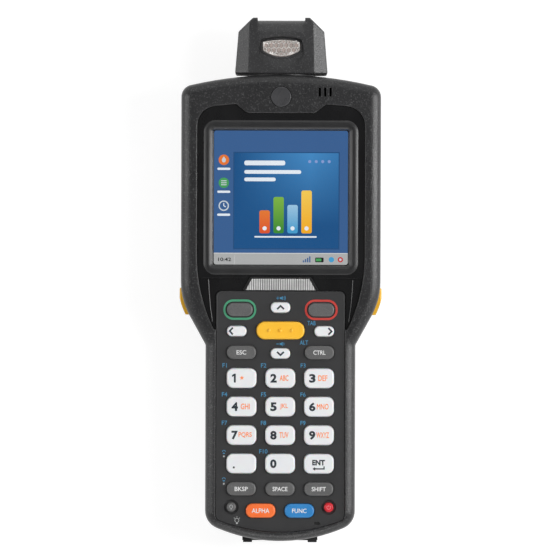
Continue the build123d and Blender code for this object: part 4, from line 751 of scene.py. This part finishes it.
# moulded beads: width, foot and crest, from the top of what they stand on
beads = {
    "crease": {"width": 0.5, "foot": -0.62, "crest": 0.1},
    "barFrame": {"width": 0.8, "foot": -0.62, "crest": 0.35},
    "wing": {"width": 0.4, "foot": -0.65, "crest": -0.3},
    "plate": {"width": 0.42, "foot": -0.05, "crest": 0.12},
}
beadTop = {"narrowed": 3.2, "shoulder": 0.75}


# a thin bead along a path, with a rounded top that catches the light
def beadPiece(name, path, bead, top, finish, closed=False):
    outer, inner = bead["width"] / 2, bead["width"] / beadTop["narrowed"]
    low, high = top + bead["foot"], top + bead["crest"]
    shoulder = low + (high - low) * beadTop["shoulder"]
    rings = []
    for shift, level in ((-outer, low), (-inner, shoulder), (0.0, high), (inner, shoulder), (outer, low)):
        side = list(path)
        if shift:
            points = stroke(path, 2 * abs(shift), closed)[0]
            side = points[:len(path)] if shift < 0 else points[len(path):]
        rings.append([(x, y, level) for x, y in side])
    piece = linkPiece(name, sweptForm(rings, closed), [finishes[finish]])
    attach(piece, "housing")


def mirrored(path):
    return [(-x, y) for x, y in reversed(path)]


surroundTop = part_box("display_surround")[1].z / mm
barLow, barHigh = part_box("indicator_light_bar")
barFoot, barCrest = barLow.y / mm, barHigh.y / mm
rightCrease = [(12.6, 3.0), (13.0, 2.7), (14.1, 1.1), (14.6, 0.95), (31.2, 0.95)]
rightFrame = [(11.4, barCrest + 0.5), (11.95, barCrest + 0.3), (14.75, barFoot)]
rightWing = [(28.9, 0.2), (28.6, -5.0), (28.1, -11.0), (27.3, -16.6)]
for name, path, bead in (
    ("creaseBead", mirrored(rightCrease) + rightCrease, "crease"),
    ("barFrame", mirrored(rightFrame) + rightFrame, "barFrame"),
    ("rightWingBead", rightWing, "wing"),
    ("leftWingBead", mirrored(rightWing), "wing"),
):
    beadPiece(name, path, beads[bead], surroundTop, "surroundPlastic")

plateLow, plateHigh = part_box("keypad_plate")
rim = {"inset": 0.3, "topCorner": 1.7, "footCorner": 1.9, "footRise": 1.3, "bow": 68.0}


# the plate's outline: round corners at the top, a bowed foot
def plateRim():
    half = plateHigh.x / mm - rim["inset"]
    top, crown = plateHigh.y / mm - rim["inset"], plateLow.y / mm + rim["inset"]
    topX, footX = half - rim["topCorner"], half - rim["footCorner"]

    def bowed(x):
        return crown + rim["bow"] - math.sqrt(rim["bow"] ** 2 - x ** 2)

    cornerY = bowed(half) + rim["footRise"]
    path = arcPoints(rim["topCorner"], 0, 90, 6, (topX, top - rim["topCorner"]))
    path += arcPoints(rim["topCorner"], 90, 180, 6, (-topX, top - rim["topCorner"]))
    path += arcPoints(rim["footCorner"], 180, 250, 5, (-footX, cornerY))
    for step in range(1, 20):
        x = (step / 10 - 1) * footX
        path.append((x, bowed(x)))
    return path + arcPoints(rim["footCorner"], 290, 360, 5, (footX, cornerY))


beadPiece("plateBead", plateRim(), beads["plate"], plateTop, "platePlastic", closed=True)
print("laid the beads")


# the rolled frame round the display: half sizes from its middle, heights from the top of the surround
rolled = {"outer": 30.9, "brow": 27.45, "inner": 27.2, "corner": 0.9, "outerTilt": -32, "innerTilt": 42,
          "steps": 14, "root": -0.7, "rise": -0.04, "sink": -2.75, "sharp": 25}
windowLow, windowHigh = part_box("touch_window")
screenY = (windowLow.y + windowHigh.y) / 2 / mm


# a low arc across the frame's width, then a steep drop to the glass: (half size, height)
def rolledSection():
    start, end = math.radians(rolled["outerTilt"]), math.radians(rolled["innerTilt"])
    radius = (rolled["outer"] - rolled["brow"]) / (math.sin(end) - math.sin(start))
    section = [(rolled["outer"], rolled["root"])]
    for step in range(rolled["steps"] + 1):
        tilt = start + (end - start) * step / rolled["steps"]
        half = rolled["outer"] - radius * (math.sin(tilt) - math.sin(start))
        section.append((half, rolled["rise"] + radius * (math.cos(tilt) - math.cos(start))))
    return section + [(rolled["inner"], rolled["sink"])]


def makeRolledFrame():
    rings = []
    for half, level in rolledSection():
        outline = roundedOutline(2 * half, 2 * half, rolled["corner"] + half - rolled["inner"])
        rings.append([(x, y + screenY, surroundTop + level) for x, y in outline])
    form = sweptForm(rings, closed=True)
    for face in form.faces:
        face.smooth = True
    for line in form.edges:
        line.smooth = line.calc_face_angle(0.0) < math.radians(rolled["sharp"])
    return linkPiece("displayFrame", form, [finishes["framePlastic"]])


displayFrame = makeRolledFrame()
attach(displayFrame, "housing")
print("rolled the display's frame")


litValues = {"Base Color": (0.0, 0.0, 0.0, 1.0), "Emission Strength": 1.05, "Roughness": 0.4,
             "Specular IOR Level": 0.0}


# a lit colour of the display; a high colour fades in up the picture, and glow keeps it near one side
def lit(name, low, high=None, rise=None, glow=None):
    material, tree, shader = newMaterial(name)
    grid = placeGroup(tree, pixelGrid)["Light"]
    colour = tint(*low)
    if high:
        split = addNode(tree, "ShaderNodeSeparateXYZ", {0: objectPlace(tree)}).outputs
        share = ranged(tree, split[1], *rise)
        if glow:
            middle, reach = glow
            away = calc(tree, "ABSOLUTE", calc(tree, "SUBTRACT", split[0], middle))
            share = calc(tree, "MULTIPLY", share, ranged(tree, away, 0.0, reach, 1.0, 0.0))
        colour = mixColour(tree, share, tint(*low), tint(*high))
    feed(tree, shader, {"Emission Color": mixColour(tree, grid, tint(0, 0, 0), colour), **litValues})
    return material


# a colour alone, or low and high colours, where the high one fades in and where it glows
screenLights = {
    "desktop": [(56, 96, 148)],
    "panel": [(18, 82, 138), (66, 138, 198), (22.0, 50.0), (12.0, 30.0)],
    "panelEdge": [(30, 76, 124)],
    "dots": [(140, 160, 214)],
    "white": [(236, 242, 250)],
    "bar": [(178, 178, 178)],
    "barEdge": [(222, 222, 222)],
    "black": [(16, 16, 18)],
    "red": [(226, 84, 40), (238, 130, 52), (19.0, 30.0)],
    "green": [(60, 140, 50), (138, 190, 70), (20.0, 36.0)],
    "sky": [(70, 160, 210), (170, 208, 234), (20.0, 32.0)],
    "amber": [(250, 176, 30), (252, 210, 90), (20.0, 38.0)],
    "leaf": [(70, 160, 90)],
    "coral": [(236, 120, 50)],
    "mist": [(206, 214, 222)],
    "ember": [(200, 60, 60)],
}
screenColours = {}
for name, values in screenLights.items():
    screenColours[name] = lit("lit" + name[0].upper() + name[1:], *values)

# the picture on the display, drawn in layers under the glass; places are across and down from its
# top left corner, in millimetres
picture = {"side": 53.7, "corner": 0.9, "middle": 27.1, "layers": 6, "layer": 0.012, "share": 0.7,
           "clear": 0.004}
panel = {"width": 42.6, "height": 39.0, "edge": 0.8, "across": 29.3, "down": 28.3}
strip = {"height": 4.7, "down": 51.6, "squareHeight": 1.2, "squareDown": 49.9, "line": 0.25, "lineDown": 49.4}
heading = {"left": 12.4, "corner": 0.7, "lines": ((13.2, 16.4, 1.9), (16.8, 22.8, 1.5), (19.8, 12.6, 1.5))}
chart = {"foot": 41.4, "width": 4.2, "corner": 0.8, "dot": 0.85, "dotDown": 39.4,
         "base": (25.0, 0.6, 0.28), "basePlace": (29.0, 42.8),
         "bars": ((20.6, 9.2, "red"), (26.2, 14.6, "green"), (31.8, 11.4, "sky"), (37.4, 17.2, "amber"))}
dots = {"radius": 0.62, "down": 12.6, "across": (38.6, 41.2, 43.8, 46.4)}
marks = {"across": 4.2, "radius": 2.1, "drop": 12.0, "ladder": 21.2, "clock": 30.4, "label": (5.2, 0.9, 0.4),
         "labelDrop": 3.6}
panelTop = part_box("display_panel")[1].z / mm
drawn = []


def draw(shape, across, down, colour, layer):
    x, y = across - picture["middle"], screenY + picture["middle"] - down
    drawn.append((moved(shape, x, y), screenColours[colour], layer))


def drawDesktop():
    side, middle = picture["side"], picture["middle"]
    draw(tile(side, side, picture["corner"], 5), middle, middle, "desktop", 0)
    draw(box(panel["width"], panel["height"]), panel["across"], panel["down"], "panelEdge", 1)
    inner = box(panel["width"] - panel["edge"], panel["height"] - panel["edge"])
    draw(inner, panel["across"], panel["down"], "panel", 2)
    draw(tile(side, strip["height"], picture["corner"], 5), middle, strip["down"], "bar", 1)
    draw(box(side, strip["squareHeight"]), middle, strip["squareDown"], "bar", 2)
    draw(box(side, strip["line"]), middle, strip["lineDown"], "barEdge", 3)


# three lines of a heading, a bar chart with a dot on each bar over its base line, and a row of dots
def drawChart():
    for down, width, height in heading["lines"]:
        draw(tile(width, height, heading["corner"]), heading["left"] + width / 2, down, "white", 3)
    for across, tall, colour in chart["bars"]:
        draw(tile(chart["width"], tall, chart["corner"], 4), across, chart["foot"] - tall / 2, colour, 3)
        draw(disc(chart["dot"], 14), across, chart["dotDown"], "white", 4)
    draw(tile(*chart["base"]), *chart["basePlace"], "white", 3)
    for across in dots["across"]:
        draw(disc(dots["radius"], 12), across, dots["down"], "dots", 3)


# round marks down the left edge: a drop, a ladder and a clock face
def drawMarks():
    across, drop, ladder, clock = (marks[name] for name in ("across", "drop", "ladder", "clock"))
    for down, colour in ((drop, "coral"), (ladder, "leaf"), (clock, "mist")):
        draw(disc(marks["radius"]), across, down, colour, 3)
        draw(tile(*marks["label"]), across, down + marks["labelDrop"], "white", 3)
    dropOutline = [(0.0, 1.4), (-0.85, 0.1), (-0.6, -0.8), (0.0, -1.1), (0.6, -0.8), (0.85, 0.1)]
    draw(polygon(dropOutline), across, drop, "mist", 4)
    for step in (-0.8, 0.0, 0.8):
        draw(box(2.2, 0.36), across, ladder + step, "mist", 4)
    draw(disc(1.6), across, clock, "desktop", 4)
    draw(stroke([(0.0, 1.1), (0.0, 0.0), (0.8, -0.5)], 0.34), across, clock, "white", 5)


# the grey strip: the time, level marks, a battery, a dot and a ring
def drawStrip():
    draw(words("10:42", 1.45, 5.2, 0.02), 4.6, 51.9, "black", 3)
    draw(box(0.1, 3.6), 8.6, 52.0, "barEdge", 3)
    for step, tall in enumerate((0.8, 1.3, 1.8, 2.4)):
        draw(box(0.55, tall), 36.2 + step * 0.85, 53.0 - tall / 2, "desktop", 3)
    draw(tile(3.4, 1.9, 0.3), 42.6, 52.0, "black", 3)
    draw(box(2.2, 1.1), 42.3, 52.0, "leaf", 4)
    draw(disc(1.1, 14), 47.4, 51.9, "sky", 3)
    draw(disc(1.1, 14), 51.0, 51.9, "ember", 3)
    draw(disc(0.5, 10), 51.0, 51.9, "mist", 4)


drawDesktop()
drawChart()
drawMarks()
drawStrip()
for layer in range(picture["layers"]):
    items = [(shape, material) for shape, material, level in drawn if level == layer]
    low = panelTop + picture["clear"] + layer * picture["layer"]
    high = low + picture["layer"] * picture["share"]
    printPiece(f"screenLayer{layer}", items, "housing", low, high)


# the touch glass, cut a little thinner than its seat so that the picture lies under it
glass = {"lift": 0.12, "corner": 1.0, "edge": 0.15}


def makeTouchGlass():
    low, high = windowLow + Vector((0, 0, glass["lift"] * mm)), windowHigh
    outline = roundedOutline((high.x - low.x) / mm, (high.y - low.y) / mm, glass["corner"], 6)
    form = bmesh.new()
    form.faces.new([form.verts.new((x * mm, y * mm, 0.0)) for x, y in outline])
    raiseFaces(form, high.z - low.z)
    level = [line for line in form.edges if abs(line.verts[0].co.z - line.verts[1].co.z) < 1e-9]
    bmesh.ops.bevel(form, geom=level, offset=glass["edge"] * mm, segments=2, affect="EDGES", profile=0.5)
    bmesh.ops.translate(form, verts=form.verts, vec=((low.x + high.x) / 2, (low.y + high.y) / 2, low.z))
    return linkPiece("touchGlass", form, [finishes["touchGlass"]])


touchGlass = makeTouchGlass()
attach(touchGlass, "housing")
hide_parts("touch_window")
print("drew the display")


# honeycomb of the status light, standing on the lens: tall cells in brick order
comb = {"width": 2.0, "side": 0.62, "tip": 1.42, "line": 0.46, "height": 0.2, "sink": 0.05, "margin": 0.42,
        "lift": 1.05, "rows": 2, "columns": 4, "rimSteps": 24}
lens = {"lean": 13.6, "halfWidth": 7.5, "halfHeight": 3.5, "shoulder": 2.5, "chin": 0.9}
combEdge = lens["halfWidth"] - comb["margin"]


# how far up or down the lens the comb may reach at x: its brow and its chin are arcs
def lensLimit(x, upper):
    half, high = lens["halfWidth"], lens["halfHeight"]
    bow = high - lens["shoulder" if upper else "chin"]
    radius = (half * half + bow * bow) / (2 * bow)
    y = high - radius + math.sqrt(max(0.0, radius * radius - x * x)) - comb["margin"]
    return y if upper else -y


def withinLens(x, y):
    x = max(-combEdge, min(combEdge, x))
    return x, max(lensLimit(x, False), min(lensLimit(x, True), y))


def combShapes():
    shapes = []
    half = [(comb["width"] / 2, comb["side"]), (0.0, comb["tip"]), (-comb["width"] / 2, comb["side"])]
    cell = half + [(-x, -y) for x, y in half]
    for row in range(-comb["rows"], comb["rows"] + 1):
        for column in range(-comb["columns"], comb["columns"] + 1):
            x = (column + (0.5 if row % 2 else 0.0)) * comb["width"]
            y = row * (comb["side"] + comb["tip"]) + comb["lift"]
            low, high = lensLimit(x, False) - comb["side"], lensLimit(x, True) + comb["side"]
            if abs(x) <= combEdge and low < y < high:
                outline = [withinLens(x + px, y + py) for px, py in cell]
                shapes.append(stroke(outline, comb["line"], closed=True))
    steps = [-combEdge + 2 * combEdge * step / comb["rimSteps"] for step in range(comb["rimSteps"] + 1)]
    lensRim = [(x, lensLimit(x, True)) for x in steps] + [(x, lensLimit(x, False)) for x in reversed(steps)]
    return shapes + [stroke(lensRim, comb["line"], closed=True)]


# the lens leans back, so its front plane is found from its own points
def lensPlace():
    turn = Matrix.Rotation(-math.radians(lens["lean"]), 4, "X")
    out = turn @ Vector((0, 0, 1))
    low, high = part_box("status_light_lens")
    solid = nodes["status_light_lens"]
    front = max((solid.matrix_world @ vertex.co).dot(out) for vertex in solid.data.vertices)
    middle = (low + high) / 2
    return Matrix.Translation(middle + out * (front - middle.dot(out))) @ turn


items = [(shape, finishes["combPlastic"]) for shape in combShapes()]
printPiece("lensHoneycomb", items, "scan_head", -comb["sink"], comb["height"], lensPlace())
print("built the honeycomb")


# 1 for what is seen straight, in a reflection or through glass
def seenShare(tree):
    seen = addNode(tree, "ShaderNodeLightPath").outputs
    share = calc(tree, "MAXIMUM", seen["Is Camera Ray"], seen["Is Glossy Ray"])
    return calc(tree, "MAXIMUM", share, seen["Is Transmission Ray"])


paper = {"half": 3.0, "drop": 0.0002, "base": (150, 150, 150), "light": (156, 156, 156), "glow": 0.82,
         "grain": 1.2, "mottle": 60.0}
paperValues = {"Roughness": 0.9, "Specular IOR Level": 0.0, "Emission Color": (1.0, 1.0, 1.0, 1.0)}


def makeFloor():
    form = bmesh.new()
    corners = box(2 * paper["half"], 2 * paper["half"])[0]
    form.faces.new([form.verts.new((x, y, -paper["drop"])) for x, y in corners])
    material, tree, shader = newMaterial("paperFloor")
    fibres = placeGroup(tree, mouldGrain, Grain=paper["grain"], Mottle=paper["mottle"])["Tone"]
    colour = mixColour(tree, fibres, tint(*paper["base"]), tint(*paper["light"]))
    glow = calc(tree, "MULTIPLY", seenShare(tree), paper["glow"])
    feed(tree, shader, {"Base Color": colour, "Emission Strength": glow, **paperValues})
    floor = linkPiece("floor", form, [material])


def makeLamp(name, place, size, power):
    light = bpy.data.lights.new(name, "AREA")
    light.shape = "RECTANGLE"
    light.size, light.size_y = size
    light.energy = power
    lamp = bpy.data.objects.new(name, light)
    lamp.location = place
    lamp.rotation_euler = (Vector(lampAim) - Vector(place)).to_track_quat("-Z", "Y").to_euler()
    bpy.context.scene.collection.objects.link(lamp)


# the sky gives an even light, and reflections see a bright band low down under a darker top
sky = {"light": 0.25, "bandTop": 0.35, "fadeTop": 0.8, "overhead": 0.16}


def makeWorld():
    world = bpy.data.worlds.new("studio")
    world.use_nodes = True
    bpy.context.scene.world = world
    tree = world.node_tree
    way = addNode(tree, "ShaderNodeTexCoord").outputs["Generated"]
    height = addNode(tree, "ShaderNodeSeparateXYZ", {0: way}).outputs[2]
    band = ranged(tree, height, sky["bandTop"], sky["fadeTop"], 1.0, sky["overhead"])
    shares = {0: seenShare(tree), 2: sky["light"], 3: band}
    strength = addNode(tree, "ShaderNodeMix", shares).outputs[0]
    feed(tree, tree.nodes["Background"], {"Strength": strength, "Color": (1.0, 1.0, 1.0, 1.0)})


lampAim = (0.0, 0.0, 0.02)
lamps = {
    "leftBox": {"place": (-0.98, 0.1, 0.72), "size": (0.34, 1.2), "power": 4.8},
    "rightBox": {"place": (0.98, 0.1, 0.72), "size": (0.34, 1.2), "power": 13.5},
    "topBox": {"place": (0.0, 1.0, 0.95), "size": (1.2, 0.4), "power": 1.9},
    "footBox": {"place": (0.0, -1.2, 0.5), "size": (1.2, 0.3), "power": 3.6},
}
makeFloor()
makeWorld()
for name, values in lamps.items():
    makeLamp(name, **values)

# the camera looks straight down; wide is what it takes in at the front plane, in millimetres
view = {"height": 2.5, "frontPlane": 38.0, "wide": 224.0, "centre": (-0.26, 0.1), "roll": 0.18}
camera = bpy.data.cameras.new("camera")
camera.lens = camera.sensor_width * view["height"] / (view["wide"] * mm)
cameraHolder = bpy.data.objects.new("camera", camera)
centreX, centreY = view["centre"]
cameraHolder.location = (centreX * mm, centreY * mm, view["height"] + view["frontPlane"] * mm)
cameraHolder.rotation_euler = (0.0, 0.0, math.radians(view["roll"]))
bpy.context.scene.collection.objects.link(cameraHolder)
bpy.context.scene.camera = cameraHolder
bpy.context.scene.view_settings.view_transform = "Standard"
print("set the studio")
